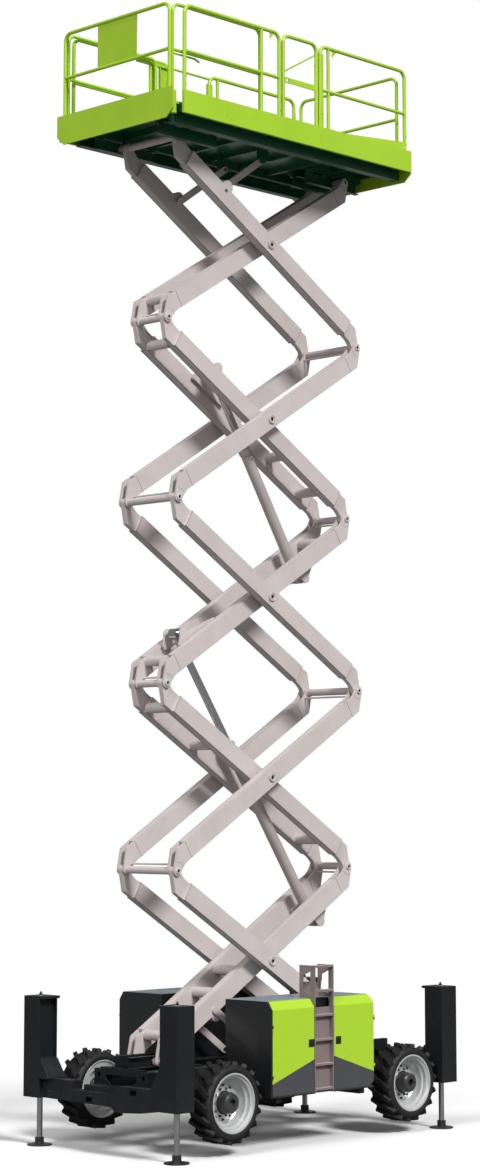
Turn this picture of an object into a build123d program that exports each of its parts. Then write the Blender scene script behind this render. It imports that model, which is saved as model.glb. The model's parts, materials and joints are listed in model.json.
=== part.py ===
"""Rough-terrain scissor lift, raised, standing on its four outriggers.

Row frame, millimetres: X points to the steered front end, Y to the left side with the
ladder, Z up.  The origin is on the ground, midway between the four outriggers.
"""
import os
from math import asin, atan2, cos, degrees, hypot, radians, sin, sqrt, tan

from build123d import *

os.makedirs("parts", exist_ok=True)

# ----------------------------------------------------------------- scissor stack
LEVELS = 5                   # crossings, one above the other
ARM_SPAN = 3623              # from an arm's lower pin to its upper pin
ARM_REST_ANGLE = 34.75       # slope of the line through both pins, degrees
STACK_X = 46                 # the crossings stay above one another here
FOOT_Z = 951                 # height of the lowest pins
ARM_DEPTH = 200
ARM_WIDTH = 120
PIN_OFFSET = 112             # an arm's end pins lie this far off its own centre line
INNER_ARM_Y = 225            # centre planes of the narrow and the wide arm pairs
OUTER_ARM_Y = 405
SEAM_BACK = 255              # the closed tube stops this far before the end pins
KINK_BACK = 120              # where the end plates turn towards the pin
FORK_PLATE = 25              # thickness of each of a fork's two plates
TONGUE_GAP = 4               # play between a tongue and the fork round it
BOSS_R = 55
PIN_R = 30
FIT_GAP = 0.3                # radial play of pins in their bores
PIN_HEAD_R = 40
PIN_HEAD = 8                 # thickness of a pin's retaining disc
CROSS_TUBE_R = 42            # tube round each pair of knuckle pins
BRACE_TUBE_R = 58            # tubes that tie a pair of arms together
TIE_ROD_R = 11               # thin rod beside the knuckle tubes
TIE_ROD_RISE = 90
TIE_ROD_IN = 25
LUG_TIE_R = 26
LUG_HOLD = 0.4               # a lug reaches this far into the arm, as a share of its half depth

# ----------------------------------------------------------------- rails and feet
ROLLER_R = 52
ROLLER_WIDTH = 46
ROLLER_GAP = 6               # from the arm to its roller, and round the roller
RAIL_PLATE = 10
CENTRING_BAR = 22            # thickness of the centring links
CENTRING_DEPTH = 80
CENTRING_GAP = 5             # from a link to the arms beside it
LINK_PIN_R = 24
SEAT_LUG = (150, 62)         # lug under the arm that a centring link is pinned to

# ----------------------------------------------------------------- chassis
FRONT_AXLE_X = 1387
REAR_AXLE_X = -1525
AXLE_Z = 567
RAIL_Y = 335                 # centre plane of each main chassis rail
RAIL_WIDTH = 180
RAIL_Z = (640, 870)
CHASSIS_X = (-1990, 1940)
FORK_POCKET = (50, 48, 160)  # pocket in a rail's end: inset, height and depth
CROSS_MEMBER_X = (-1060, -620, 560, 960)
POST = 260                   # outrigger post, square outside
POST_PLATE = 16
POST_Y = 1091
POST_X = 2148                # outriggers stand this far before and behind the origin
POST_Z = (530, 1630)
LEG_ROD_R = 32
LEG_STROKE = 440
PAD_R = 135
PAD_HUB_R = 50
POST_RECESS = 42
POST_LIP = 46                # the post's top flange reaches this far inboard
BEAM_Z = (490, 650)
BEAM_THICK = 130

# ----------------------------------------------------------------- wheels
TYRE_R = 438
TYRE_WIDTH = 310
WHEEL_OUT_Y = 1190           # outer face of the tyres
RIM_R = 308
LUG_DEPTH = 38
LUGS = 18
KINGPIN_Y = 880
SPINDLE_R = 45
HUB_R = 112

# ----------------------------------------------------------------- side covers
COVER_X = (-830, 841)
COVER_Y = (510, 1212)
COVER_Z = (575, 1605)
COVER_WALL = 20
COVER_CHAMFER = (62, 92)     # the outer top edge is cut off this far in Y and in Z
COVER_REAR_CUT = 85          # lower rear corner cut off
DOOR_THICK = 32
DOOR_GAP = 5
DOOR_ROUND = 70              # radius of the doors' outer top corners
HINGE_OUT = 7                # the doors' hinge lines lie this far outside them
HINGE_R = 6
HINGE_LONG = 30              # length of each half of a hinge
LADDER_X = (-165, 150)
LADDER_DEPTH = 62
LADDER_BACK = 10
LADDER_TOP_Z = 1965
LADDER_HEAD = 235            # depth of the ladder's side plates over the cover
LADDER_PLATE = 12
STEP_PITCH = 267
STEPS = 6
STEP_PLATE = (56, 24)        # depth and height of a step
ENGINE = (780, 430, 520)

# ----------------------------------------------------------------- lift cylinders
BARREL_R = 65
ROD_R = 44
EYE_R = 62
EYE_HALF = 60                # half the width of a cylinder's eye
LUG_PLATE_Y = 118            # inner face of the lug plates that hold a cylinder
LUG_PLATE = 20
LOWER_BARREL = 2480
UPPER_BARREL = 1750

# ----------------------------------------------------------------- platform
DECK_X = (-1859, 1977)
DECK_Y = 950                 # half width over the deck frame
DECK_Z = (11361, 11470)
DECK_PLATE = 12
FLOOR_PLATE = 3              # raised tread plate in the middle of the deck
SIDE_BEAM_Y = (742, 800)     # longitudinal channels under the deck
SIDE_BEAM_DROP = 75
CROSS_DROP = 60              # depth of the cross members below the deck plate
CROSS_MEMBERS = 9
TOE_Y = 986
TOE_TOP_Z = 11620
RAIL_LINE_Y = 925
RAIL_TOP_Z = 12637
RAIL_MID_Z = 12110           # top of the middle rail
RAIL_TUBE_R = 22
RAIL_BEND = 95               # radius of the rails' rounded corners
REAR_POST_X = -1822
MAIN_POST_X = 1917
GATE_X = (-243, 322)         # centres of the gate's own two posts
POST_GAP = 67                # from a gate post to the post of the fixed rails beside it
HINGE_POST = (84, 30)        # flat post the gate hangs on: width in X and depth in Y
HINGE_IN = 30                # the gate turns about a line this far inside the rails
GATE_HINGE_X = 23.5          # and this far behind its rear post
GATE_HINGE_R = 8
END_HOOP_Y = 800
WEDGE_TOP_Z = 11735          # the raised rear end of the side plates
FRONT_RAIL_X = 2094
EXT_LINE_Y = 866
EXTENSION_X = 620            # rear edge of the sliding deck
EXTENSION_STROKE = 1300
BOARD_PLATE = 16
BOARD_DROP = 65              # the front board hangs this far below the deck
BOARD_CUT = (110, 95)
PANEL_Y = (-312, 336)


# ================================================================= worked-out places
def pin_lean():
    """Angle between an arm's centre line and the line through its two end pins."""
    return degrees(asin(2 * PIN_OFFSET / ARM_SPAN))


ARM_RUN = sqrt((ARM_SPAN / 2) ** 2 - PIN_OFFSET ** 2)
ARM_TILT = ARM_REST_ANGLE - pin_lean()
HALF_BASE = ARM_SPAN / 2 * cos(radians(ARM_REST_ANGLE))
PITCH = ARM_SPAN * sin(radians(ARM_REST_ANGLE))
TOP_PIN_Z = FOOT_Z + LEVELS * PITCH
LINK_SPAN = ARM_SPAN / 4
INNER_FACE = (INNER_ARM_Y - ARM_WIDTH / 2, INNER_ARM_Y + ARM_WIDTH / 2)
OUTER_FACE = (OUTER_ARM_Y - ARM_WIDTH / 2, OUTER_ARM_Y + ARM_WIDTH / 2)
FOOT_ENDS = ((1, -1), (LEVELS, 1))     # (level, end) of the arm ends that run on rollers


# ================================================================= small helpers
def block(x, y, z, mode=Mode.ADD):
    """Add a box to the open part; x, y and z are (low, high) pairs."""
    with Locations(((x[0] + x[1]) / 2, (y[0] + y[1]) / 2, (z[0] + z[1]) / 2)):
        Box(x[1] - x[0], y[1] - y[0], z[1] - z[0], mode=mode)


def bar(start, end, radius, mode=Mode.ADD):
    """Add a round bar between two points to the open part."""
    run = Vector(*end) - Vector(*start)
    with Locations(Plane(origin=start, z_dir=run)):
        Cylinder(radius, run.length, align=(Align.CENTER, Align.CENTER, Align.MIN), mode=mode)


def disc(centre, radius, y, mode=Mode.ADD):
    """Add a disc on an axis along Y; centre is (x, z) and y a (low, high) pair."""
    bar((centre[0], y[0], centre[1]), (centre[0], y[1], centre[1]), radius, mode)


def prism(plane, points, amount, mode=Mode.ADD):
    """Extrude an outline, given as points on a plane, to one side of it."""
    with BuildSketch(plane) as outline:
        with BuildLine():
            Polyline(*points, close=True)
        make_face()
    extrude(outline.sketch, amount=amount, mode=mode)


def mirrored(y, side):
    """A (low, high) pair of Y on the left (+1) or the right (-1) side."""
    return (y[0], y[1]) if side > 0 else (-y[1], -y[0])


def finish(part, label):
    """Name a finished piece and write its file."""
    part.label = label
    export_step(part, f"parts/{label}.step")


# ================================================================= scissor arms
class ArmPlace:
    """Where an arm lies: rising to the front (+1) or to the rear (-1), and its level."""

    def __init__(self, rise, level):
        self.rise = rise
        self.centre = (STACK_X, FOOT_Z + PITCH * (level - 0.5))

    def at(self, along, off):
        """Row (x, z) of a point along the arm and off its centre line."""
        turn = radians(ARM_TILT)
        x = self.rise * (along * cos(turn) - off * sin(turn))
        z = along * sin(turn) + off * cos(turn)
        return (self.centre[0] + x, self.centre[1] + z)

    def plane(self, y):
        """Sketch plane in the arm's own axes at a given Y, facing +Y or -Y."""
        turn = radians(ARM_TILT)
        return Plane(
            origin=(self.centre[0], y, self.centre[1]),
            x_dir=(self.rise * cos(turn), 0, sin(turn)),
            z_dir=(0, -self.rise, 0),
        )

    def slab(self, y, mode=Mode.ADD):
        """Extrude the pending sketch, drawn at the middle of y, over its whole width."""
        extrude(amount=(y[1] - y[0]) / 2, both=True, mode=mode)


def end_outline(end, reach=SEAM_BACK):
    """Dog-leg end plate round the pin at the upper (+1) or lower (-1) end of an arm."""
    half = ARM_DEPTH / 2
    pin = (ARM_RUN, PIN_OFFSET)
    kink = (ARM_RUN - KINK_BACK, -half)
    reach_angle = atan2(pin[1] - kink[1], pin[0] - kink[0])
    off_angle = asin(BOSS_R / hypot(pin[0] - kink[0], pin[1] - kink[1]))
    touch = reach_angle - off_angle - radians(90)
    outer = (pin[0] + BOSS_R * cos(touch), pin[1] + BOSS_R * sin(touch))
    inner = (pin[0] - BOSS_R * cos(radians(40)), pin[1] + BOSS_R * sin(radians(40)))
    knee = (ARM_RUN - SEAM_BACK + 70, half)
    hollow = (ARM_RUN - 100, half + 18)
    seam = ARM_RUN - reach
    with BuildLine() as rim:
        Polyline(
            (end * knee[0], end * knee[1]),
            (end * seam, end * half),
            (end * seam, -end * half),
            (end * kink[0], end * kink[1]),
            (end * outer[0], end * outer[1]),
            (end * pin[0], end * pin[1]),
            (end * inner[0], end * inner[1]),
        )
        ThreePointArc(
            (end * inner[0], end * inner[1]),
            (end * hollow[0], end * hollow[1]),
            (end * knee[0], end * knee[1]),
        )
    make_face(rim.edges())
    with Locations((end * pin[0], end * pin[1])):
        Circle(BOSS_R)


def sign_of(value):
    """+1 or -1."""
    return 1 if value > 0 else -1


def lug_sizes(lug):
    """A lug's eye and the ends of its foot in millimetres, from its shares of the arm."""
    along, off, first, last = lug
    return (along * ARM_RUN, off * ARM_DEPTH / 2, first * ARM_RUN, last * ARM_RUN)


def build_arm_pair(rise, level, centre_y, fork, tubes, lugs, seat_lugs):
    """Two like arms and what joins them.

    rise is +1 for arms that rise to the front.  A fork pair has two plates at each end and
    carries the pins; a tongue pair has one thick plate between such plates, with a bore.
    tubes lists (along, off) of the cross tubes and lugs the cylinder lugs as (along, off,
    first, last), where first and last are the ends of the lug's foot.  Along is a share of
    ARM_RUN and off a share of the arm's half depth.
    """
    place = ArmPlace(rise, level)
    inner_chain = centre_y == INNER_ARM_Y
    with BuildPart() as pair:
        for side in (1, -1):
            low, high = centre_y - ARM_WIDTH / 2, centre_y + ARM_WIDTH / 2
            full = mirrored((low, high), side)
            with BuildSketch(place.plane(side * centre_y)):
                Rectangle(2 * (ARM_RUN - SEAM_BACK), ARM_DEPTH)
            place.slab(full)
            if fork:
                layers = ((low, low + FORK_PLATE), (high - FORK_PLATE, high))
            else:
                play = FORK_PLATE + TONGUE_GAP
                layers = ((low + play, high - play),)
            for layer in layers:
                span = mirrored(layer, side)
                with BuildSketch(place.plane((span[0] + span[1]) / 2)):
                    end_outline(1)
                    end_outline(-1)
                place.slab(span)
            for end in (1, -1):
                pin = place.at(end * ARM_RUN, end * PIN_OFFSET)
                if fork:
                    disc(pin, PIN_R, full)
                    head = mirrored((high, high + PIN_HEAD), side)
                    disc(pin, PIN_HEAD_R, head)
                elif (level, end) not in FOOT_ENDS:
                    disc(pin, PIN_R + FIT_GAP, full, Mode.SUBTRACT)
            if inner_chain:
                disc(place.centre, PIN_R, mirrored((high, OUTER_FACE[1] + 2), side))
                disc(
                    place.centre, PIN_HEAD_R,
                    mirrored((OUTER_FACE[1] + 2, OUTER_FACE[1] + 2 + PIN_HEAD), side),
                )
            else:
                disc(place.centre, PIN_R + FIT_GAP, full, Mode.SUBTRACT)
            for lug in lugs:
                along, off, first, last = lug_sizes(lug)
                edge = ARM_DEPTH / 2 * (1 if off > 0 else -1)
                span = mirrored((LUG_PLATE_Y, LUG_PLATE_Y + LUG_PLATE), side)
                with BuildSketch(place.plane((span[0] + span[1]) / 2)):
                    with BuildLine():
                        Polyline(
                            (first, edge * LUG_HOLD), (last, edge * LUG_HOLD), (last, edge),
                            (along + EYE_R, off), (along - EYE_R, off), (first, edge),
                            close=True,
                        )
                    make_face()
                    with Locations((along, off)):
                        Circle(EYE_R)
                place.slab(span)
                tie = mirrored((LUG_PLATE_Y, low + 1), side)
                for foot in (first + 1.4 * LUG_TIE_R, last - 1.4 * LUG_TIE_R):
                    disc(place.at(foot, edge * 0.7), LUG_TIE_R, tie)
            for share in seat_lugs:
                along = share * ARM_RUN
                inward = PIN_OFFSET / 2 + SEAT_LUG[1]
                with BuildSketch(place.plane(side * centre_y)):
                    with Locations((along, sign_of(share) * inward / 2)):
                        Rectangle(SEAT_LUG[0], inward)
                    with Locations((along, sign_of(share) * inward)):
                        Circle(SEAT_LUG[0] / 2)
                place.slab(full)
                seat = place.at(along, sign_of(share) * PIN_OFFSET / 2)
                disc(seat, LINK_PIN_R + FIT_GAP, full, Mode.SUBTRACT)
        reach = centre_y - ARM_WIDTH / 2
        for along, off in tubes:
            spot = place.at(along * ARM_RUN, off * ARM_DEPTH / 2)
            disc(spot, BRACE_TUBE_R, (-reach, reach))
        for end in (1, -1):
            pin = place.at(end * ARM_RUN, end * PIN_OFFSET)
            if (level, end) in FOOT_ENDS:
                roller = roller_span(inner_chain)
                shaft = (roller[0], INNER_FACE[1]) if inner_chain else (OUTER_ARM_Y, roller[1])
                for side in (1, -1):
                    disc(pin, PIN_R, mirrored(shaft, side))
                    disc(pin, ROLLER_R, mirrored(roller, side))
                if level == LEVELS and not inner_chain:
                    tongue = reach + FORK_PLATE + TONGUE_GAP
                    disc(pin, CROSS_TUBE_R, (-tongue, tongue))
            elif fork:
                disc(pin, CROSS_TUBE_R, (-reach, reach))
                rod_at = place.at(end * (ARM_RUN - TIE_ROD_RISE), end * (PIN_OFFSET - TIE_ROD_IN))
                disc(rod_at, TIE_ROD_R, (-reach, reach))
    return pair.part


def roller_span(inner_chain):
    """Y range of the foot rollers: inboard of the narrow arms, outboard of the wide ones."""
    if inner_chain:
        high = INNER_FACE[0] - ROLLER_GAP
        return (high - ROLLER_WIDTH, high)
    low = OUTER_FACE[1] + PIN_HEAD
    return (low, low + ROLLER_WIDTH)


LOWER_BASE_LUG = (0.668, -2.66, 0.60, 0.80)
LOWER_EYE_LUG = (-0.647, 1.72, -0.72, -0.36)
UPPER_BASE_LUG = (0.525, -2.28, 0.43, 0.66)
UPPER_EYE_LUG = (0.420, 2.15, 0.16, 0.47)
# columns: label, rises to the front (+1) or the rear (-1), level, centre plane, fork,
# cross tubes, cylinder lugs, seats of the centring links
ARM_TABLE = (
    ("arm_outer_1", 1, 1, OUTER_ARM_Y, False, (), (), ()),
    ("arm_inner_1", -1, 1, INNER_ARM_Y, True,
     ((-0.862, 0.40), (-0.384, 0.20), (-0.157, 0.40)), (LOWER_BASE_LUG,), (-0.5,)),
    ("arm_outer_2", -1, 2, OUTER_ARM_Y, True, (), (), ()),
    ("arm_inner_2", 1, 2, INNER_ARM_Y, False,
     ((0.854, -0.40), (0.410, -0.25), (-0.727, -0.40)), (), ()),
    ("arm_outer_3", 1, 3, OUTER_ARM_Y, False, (), (), ()),
    ("arm_inner_3", -1, 3, INNER_ARM_Y, True, ((-0.862, 0.40), (0.752, 0.25)),
     (LOWER_EYE_LUG, UPPER_BASE_LUG), ()),
    ("arm_outer_4", -1, 4, OUTER_ARM_Y, True, (), (), ()),
    ("arm_inner_4", 1, 4, INNER_ARM_Y, False,
     ((0.854, -0.40), (-0.735, -0.40), (-0.380, 0.22)), (UPPER_EYE_LUG,), ()),
    ("arm_outer_5", 1, 5, OUTER_ARM_Y, False, (), (), (0.5,)),
    ("arm_inner_5", -1, 5, INNER_ARM_Y, True, ((-0.862, 0.40),), (), ()),
)

for label, rise, level, centre_y, fork, tubes, lugs, seat_lugs in ARM_TABLE:
    finish(build_arm_pair(rise, level, centre_y, fork, tubes, lugs, seat_lugs), label)


# ================================================================= centring links
LINK_Y = (INNER_FACE[1] + CENTRING_GAP, INNER_FACE[1] + CENTRING_GAP + CENTRING_BAR)
LINK_LUG_Y = (OUTER_FACE[0] - CENTRING_GAP - CENTRING_BAR, OUTER_FACE[0] - CENTRING_GAP)


def build_centring_links(hub, seat, seat_y):
    """Pair of flat links from a fixed hub pin to the quarter point of a pair of arms."""
    run = Vector(seat[0] - hub[0], 0, seat[1] - hub[1])
    with BuildPart() as links:
        for side in (1, -1):
            span = mirrored(LINK_Y, side)
            middle = (span[0] + span[1]) / 2
            with BuildSketch(Plane(
                origin=((hub[0] + seat[0]) / 2, middle, (hub[1] + seat[1]) / 2),
                x_dir=run, z_dir=(0, -1, 0),
            )):
                SlotCenterToCenter(run.length, CENTRING_DEPTH)
            extrude(amount=CENTRING_BAR / 2, both=True)
            disc(hub, LINK_PIN_R + FIT_GAP, span, Mode.SUBTRACT)
            disc(seat, LINK_PIN_R, mirrored(sorted((LINK_Y[0] + 1, seat_y)), side))
    return links.part


BASE_HUB = (STACK_X, FOOT_Z)
BASE_SEAT = ArmPlace(-1, 1).at(-ARM_RUN / 2, -PIN_OFFSET / 2)
TOP_HUB = (STACK_X, TOP_PIN_Z)
TOP_SEAT = ArmPlace(1, 5).at(ARM_RUN / 2, PIN_OFFSET / 2)
finish(build_centring_links(BASE_HUB, BASE_SEAT, INNER_ARM_Y), "centring_links_base")
finish(build_centring_links(TOP_HUB, TOP_SEAT, OUTER_ARM_Y), "centring_links_top")


# ================================================================= lift cylinders
def build_cylinder(base, eye, barrel_length, rod_length, label):
    """Barrel from its base eye, and the rod that slides in it, both drawn at rest."""
    start = Vector(base[0], 0, base[1])
    run = Vector(eye[0] - base[0], 0, eye[1] - base[1])
    way = run.normalized()
    with BuildPart() as barrel:
        bar(start + way * EYE_R * 0.5, start + way * barrel_length, BARREL_R)
        bar(start + way * (barrel_length - 90), start + way * (barrel_length + 10), BARREL_R + 10)
        disc(base, EYE_R, (-EYE_HALF, EYE_HALF))
        disc(base, PIN_R, (-LUG_PLATE_Y + FIT_GAP, LUG_PLATE_Y - FIT_GAP))
        bar(start + way * (EYE_R + 20), start + way * (barrel_length + 20),
            ROD_R + FIT_GAP, Mode.SUBTRACT)
    finish(barrel.part, f"{label}_barrel")
    with BuildPart() as rod:
        bar(start + run - way * rod_length, start + run - way * EYE_R * 0.5, ROD_R)
        disc(eye, EYE_R, (-EYE_HALF, EYE_HALF))
        disc(eye, PIN_R, (-LUG_PLATE_Y + FIT_GAP, LUG_PLATE_Y - FIT_GAP))
    finish(rod.part, f"{label}_rod")


def lug_eye(place, lug):
    """Row (x, z) of a lug's eye."""
    along, off, first, last = lug_sizes(lug)
    return place.at(along, off)


LOWER_BASE = lug_eye(ArmPlace(-1, 1), LOWER_BASE_LUG)
LOWER_EYE = lug_eye(ArmPlace(-1, 3), LOWER_EYE_LUG)
UPPER_BASE = lug_eye(ArmPlace(-1, 3), UPPER_BASE_LUG)
UPPER_EYE = lug_eye(ArmPlace(1, 4), UPPER_EYE_LUG)
build_cylinder(LOWER_BASE, LOWER_EYE, LOWER_BARREL, LOWER_BARREL + 20, "lower_cylinder")
build_cylinder(UPPER_BASE, UPPER_EYE, UPPER_BARREL, UPPER_BARREL + 8, "upper_cylinder")


# ================================================================= chassis frame
def add_foot_rail(inner_chain, x, z, reverse=False):
    """Channels that keep a pair of foot rollers; the web is on the arm's far side."""
    roller = roller_span(inner_chain)
    half = ROLLER_R + FIT_GAP
    for side in (1, -1):
        if inner_chain:
            web = (roller[0] - ROLLER_GAP - RAIL_PLATE, roller[0] - ROLLER_GAP)
            flange = (web[0], roller[1])
        else:
            web = (roller[1] + ROLLER_GAP, roller[1] + ROLLER_GAP + RAIL_PLATE)
            flange = (roller[0], web[1])
        block(x, mirrored(web, side), (z - half - RAIL_PLATE, z + half + RAIL_PLATE))
        block(x, mirrored(flange, side), (z - half - RAIL_PLATE, z - half))
        block(x, mirrored(flange, side), (z + half, z + half + RAIL_PLATE))


FOOT_TRAVEL = (ARM_SPAN / 2 * cos(radians(ARM_REST_ANGLE + 20)), ARM_SPAN / 2)
RAIL_END = ROLLER_R + 20
FRONT_TRACK_X = (STACK_X + FOOT_TRAVEL[0] - RAIL_END, STACK_X + FOOT_TRAVEL[1] + RAIL_END)
REAR_TRACK_X = (STACK_X - FOOT_TRAVEL[1] - RAIL_END, STACK_X - FOOT_TRAVEL[0] + RAIL_END)
TRACK_FLOOR = FOOT_Z - ROLLER_R - FIT_GAP - RAIL_PLATE

with BuildPart() as chassis:
    for side in (1, -1):
        rail = mirrored((RAIL_Y - RAIL_WIDTH / 2, RAIL_Y + RAIL_WIDTH / 2), side)
        block(CHASSIS_X, rail, RAIL_Z)
        inset, high, deep = FORK_POCKET
        middle = RAIL_Z[0] + 0.72 * (RAIL_Z[1] - RAIL_Z[0])
        for end in (0, 1):
            face = CHASSIS_X[end]
            inner = face + deep * (1 - 2 * end)
            block((min(face, inner), max(face, inner)),
                  mirrored((RAIL_Y - RAIL_WIDTH / 2 + inset, RAIL_Y + RAIL_WIDTH / 2 - inset), side),
                  (middle - high / 2, middle + high / 2), Mode.SUBTRACT)
        lug = mirrored(LINK_LUG_Y, side)
        block((STACK_X - 60, STACK_X + 60), lug, (RAIL_Z[1], FOOT_Z))
        disc(BASE_HUB, CENTRING_DEPTH / 2, lug)
        disc(BASE_HUB, LINK_PIN_R, mirrored((LINK_Y[0], LINK_LUG_Y[0]), side))
    for x in CROSS_MEMBER_X:
        block((x, x + 80), (-RAIL_Y, RAIL_Y), (RAIL_Z[0] + 20, RAIL_Z[0] + 130))
    for x in (CHASSIS_X[0], CHASSIS_X[1] - 16):
        prism(Plane.YZ.offset(x), ((-RAIL_Y, RAIL_Z[0] - 40), (RAIL_Y, RAIL_Z[0] - 40),
                                   (RAIL_Y, RAIL_Z[1] - 20), (0.82 * RAIL_Y, RAIL_Z[1] - 90),
                                   (0.20 * RAIL_Y, RAIL_Z[0] + 10), (-0.20 * RAIL_Y, RAIL_Z[0] + 10),
                                   (-0.82 * RAIL_Y, RAIL_Z[1] - 90), (-RAIL_Y, RAIL_Z[1] - 20)), 16)
    add_foot_rail(True, FRONT_TRACK_X, FOOT_Z)
    add_foot_rail(False, REAR_TRACK_X, FOOT_Z)
    for x in (FRONT_TRACK_X[0], FRONT_TRACK_X[1] - 60):
        block((x, x + 60), (-RAIL_Y, RAIL_Y), (RAIL_Z[1] - 60, TRACK_FLOOR))
    for x in (REAR_TRACK_X[0], REAR_TRACK_X[1] - 60):
        for side in (1, -1):
            block((x, x + 60), mirrored((RAIL_Y, roller_span(False)[1]), side),
                  (TRACK_FLOOR - 60, TRACK_FLOOR))
    for side in (1, -1):
        for x in (COVER_X[0] + 120, COVER_X[1] - 200):
            block((x, x + 80), mirrored((RAIL_Y, COVER_Y[1] - 40), side),
                  (COVER_Z[0] - 60, COVER_Z[0]))
            block((x, x + 80), mirrored((RAIL_Y, RAIL_Y + 60), side),
                  (COVER_Z[0] - 60, RAIL_Z[0] + 20))
finish(chassis.part, "chassis_frame")


# ================================================================= outrigger beams
def build_outrigger_beam(x, frame_end):
    """Cross beam with a post at each end; the posts are open channels facing inboard.

    The left half is a deep plate arm that ends in a pivot boss, the right half a lower box
    beam behind it.
    """
    end = 1 if x > 0 else -1
    inner_y = POST_Y - POST / 2
    outer_x = x + end * POST / 2
    arm_z0, arm_z1 = BEAM_Z
    with BuildPart() as beam:
        for side in (1, -1):
            ys = mirrored((inner_y, POST_Y + POST / 2), side)
            block((x - POST / 2, x + POST / 2), ys, POST_Z)
            hollow = mirrored((inner_y - 5, inner_y + POST_RECESS), side)
            block((x - POST / 2 + POST_PLATE, x + POST / 2 - POST_PLATE), hollow,
                  (arm_z1 + 310, POST_Z[1] - 30), Mode.SUBTRACT)
            lip = mirrored((inner_y - POST_LIP, inner_y + 1), side)
            block((x - POST / 2, x + POST / 2), lip, (POST_Z[1] - 28, POST_Z[1]))
        near = Plane.YZ.offset(outer_x if end < 0 else outer_x - BEAM_THICK)
        prism(near, ((inner_y + 1, arm_z1 + 375), (inner_y - 28, arm_z1 + 281),
                     (inner_y - 137, arm_z1 + 99), (0.30 * POST_Y, arm_z1 + 99),
                     (0.19 * POST_Y, arm_z1 + 10), (0.19 * POST_Y, arm_z1 - 130),
                     (0.275 * POST_Y, arm_z0 - 22), (0.62 * POST_Y, arm_z0 + 2),
                     (inner_y + 1, arm_z0 + 42)), BEAM_THICK)
        boss_x = sorted((outer_x - end * 2, outer_x - end * (BEAM_THICK + 25)))
        bar((boss_x[0], 0.268 * POST_Y, arm_z0 + 81), (boss_x[1], 0.268 * POST_Y, arm_z0 + 81), 96)
        far = Plane.YZ.offset(x - BEAM_THICK / 2)
        prism(far, ((0.30 * POST_Y, arm_z1), (-0.446 * POST_Y, arm_z1), (-0.45 * POST_Y, arm_z1 + 96),
                    (-0.742 * POST_Y, arm_z1 + 96), (-inner_y - 1, arm_z1 + 300),
                    (-inner_y - 1, arm_z0 + 42), (0.30 * POST_Y, arm_z0 + 20)), BEAM_THICK)
        for side in (1, -1):
            gusset = [(side * (inner_y + 1), arm_z1 + 300), (side * (inner_y - 16), arm_z1 + 300),
                      (side * (inner_y - 151), arm_z1 + 105), (side * (inner_y - 151), arm_z1 + 90),
                      (side * (inner_y + 1), arm_z1 + 90)]
            prism(Plane.YZ.offset(x - POST / 2), gusset, POST)
            bar((x, side * POST_Y, POST_Z[0] - 5),
                (x, side * POST_Y, POST_Z[0] + LEG_STROKE + 480), LEG_ROD_R + FIT_GAP, Mode.SUBTRACT)
        for y, z in ((0.507 * POST_Y, arm_z1 + 43), (-0.196 * POST_Y, arm_z0 + 75)):
            block((x - POST, x + POST), (y - 50, y + 50), (z - 30, z + 30), Mode.SUBTRACT)
        reach_x = sorted((x, frame_end))
        block(tuple(reach_x), (-RAIL_Y - RAIL_WIDTH / 2 + 60, RAIL_Y + RAIL_WIDTH / 2 - 60),
              (arm_z0 + 40, arm_z1 + 60))
    return beam.part


finish(build_outrigger_beam(POST_X, CHASSIS_X[1]), "front_outrigger_beam")
finish(build_outrigger_beam(-POST_X, CHASSIS_X[0]), "rear_outrigger_beam")

for end, x in (("front", POST_X), ("rear", -POST_X)):
    for hand, side in (("left", 1), ("right", -1)):
        with BuildPart() as leg:
            with BuildSketch(Plane.XZ.offset(-side * POST_Y)):
                with BuildLine():
                    Polyline((x, 0), (x + PAD_R, 0), (x + PAD_R, 16), (x + PAD_HUB_R, 30),
                             (x + PAD_HUB_R, 88), (x + LEG_ROD_R, 88),
                             (x + LEG_ROD_R, POST_Z[0] + 430), (x, POST_Z[0] + 430), close=True)
                make_face()
            revolve(axis=Axis((x, side * POST_Y, 0), (0, 0, 1)))
        finish(leg.part, f"leg_{end}_{hand}")


# ================================================================= axles and wheels
HUB_FACE_Y = WHEEL_OUT_Y - TYRE_WIDTH + 110   # where the rim's disc bolts to the hub
YOKE = 40                    # half height of the knuckle inside the axle's yoke


def build_axle(x, half_length):
    """Beam axle under the chassis rails, with its differential and mounting pads."""
    with BuildPart() as axle:
        block((x - 55, x + 55), (-half_length, half_length), (AXLE_Z - YOKE - 25, AXLE_Z + YOKE + 25))
        with Locations((x, 0, AXLE_Z)):
            Cylinder(150, 2 * (AXLE_Z - RAIL_Z[0] + 145), mode=Mode.ADD)
        for side in (1, -1):
            block((x - 90, x + 90), mirrored((RAIL_Y - 60, RAIL_Y + 60), side),
                  (AXLE_Z, RAIL_Z[0] - FIT_GAP))
    return axle.part


with BuildPart() as front_axle:
    add(build_axle(FRONT_AXLE_X, KINGPIN_Y - 110))
    for side in (1, -1):
        for z in ((AXLE_Z - YOKE - 25, AXLE_Z - YOKE), (AXLE_Z + YOKE, AXLE_Z + YOKE + 25)):
            block((FRONT_AXLE_X - 40, FRONT_AXLE_X + 40),
                  mirrored((KINGPIN_Y - 120, KINGPIN_Y + 34), side), z)
finish(front_axle.part, "front_axle")

with BuildPart() as rear_axle:
    add(build_axle(REAR_AXLE_X, HUB_FACE_Y - 60))
    for side in (1, -1):
        disc((REAR_AXLE_X, AXLE_Z), SPINDLE_R, mirrored((HUB_FACE_Y - 61, WHEEL_OUT_Y - 70), side))
finish(rear_axle.part, "rear_axle")

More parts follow.
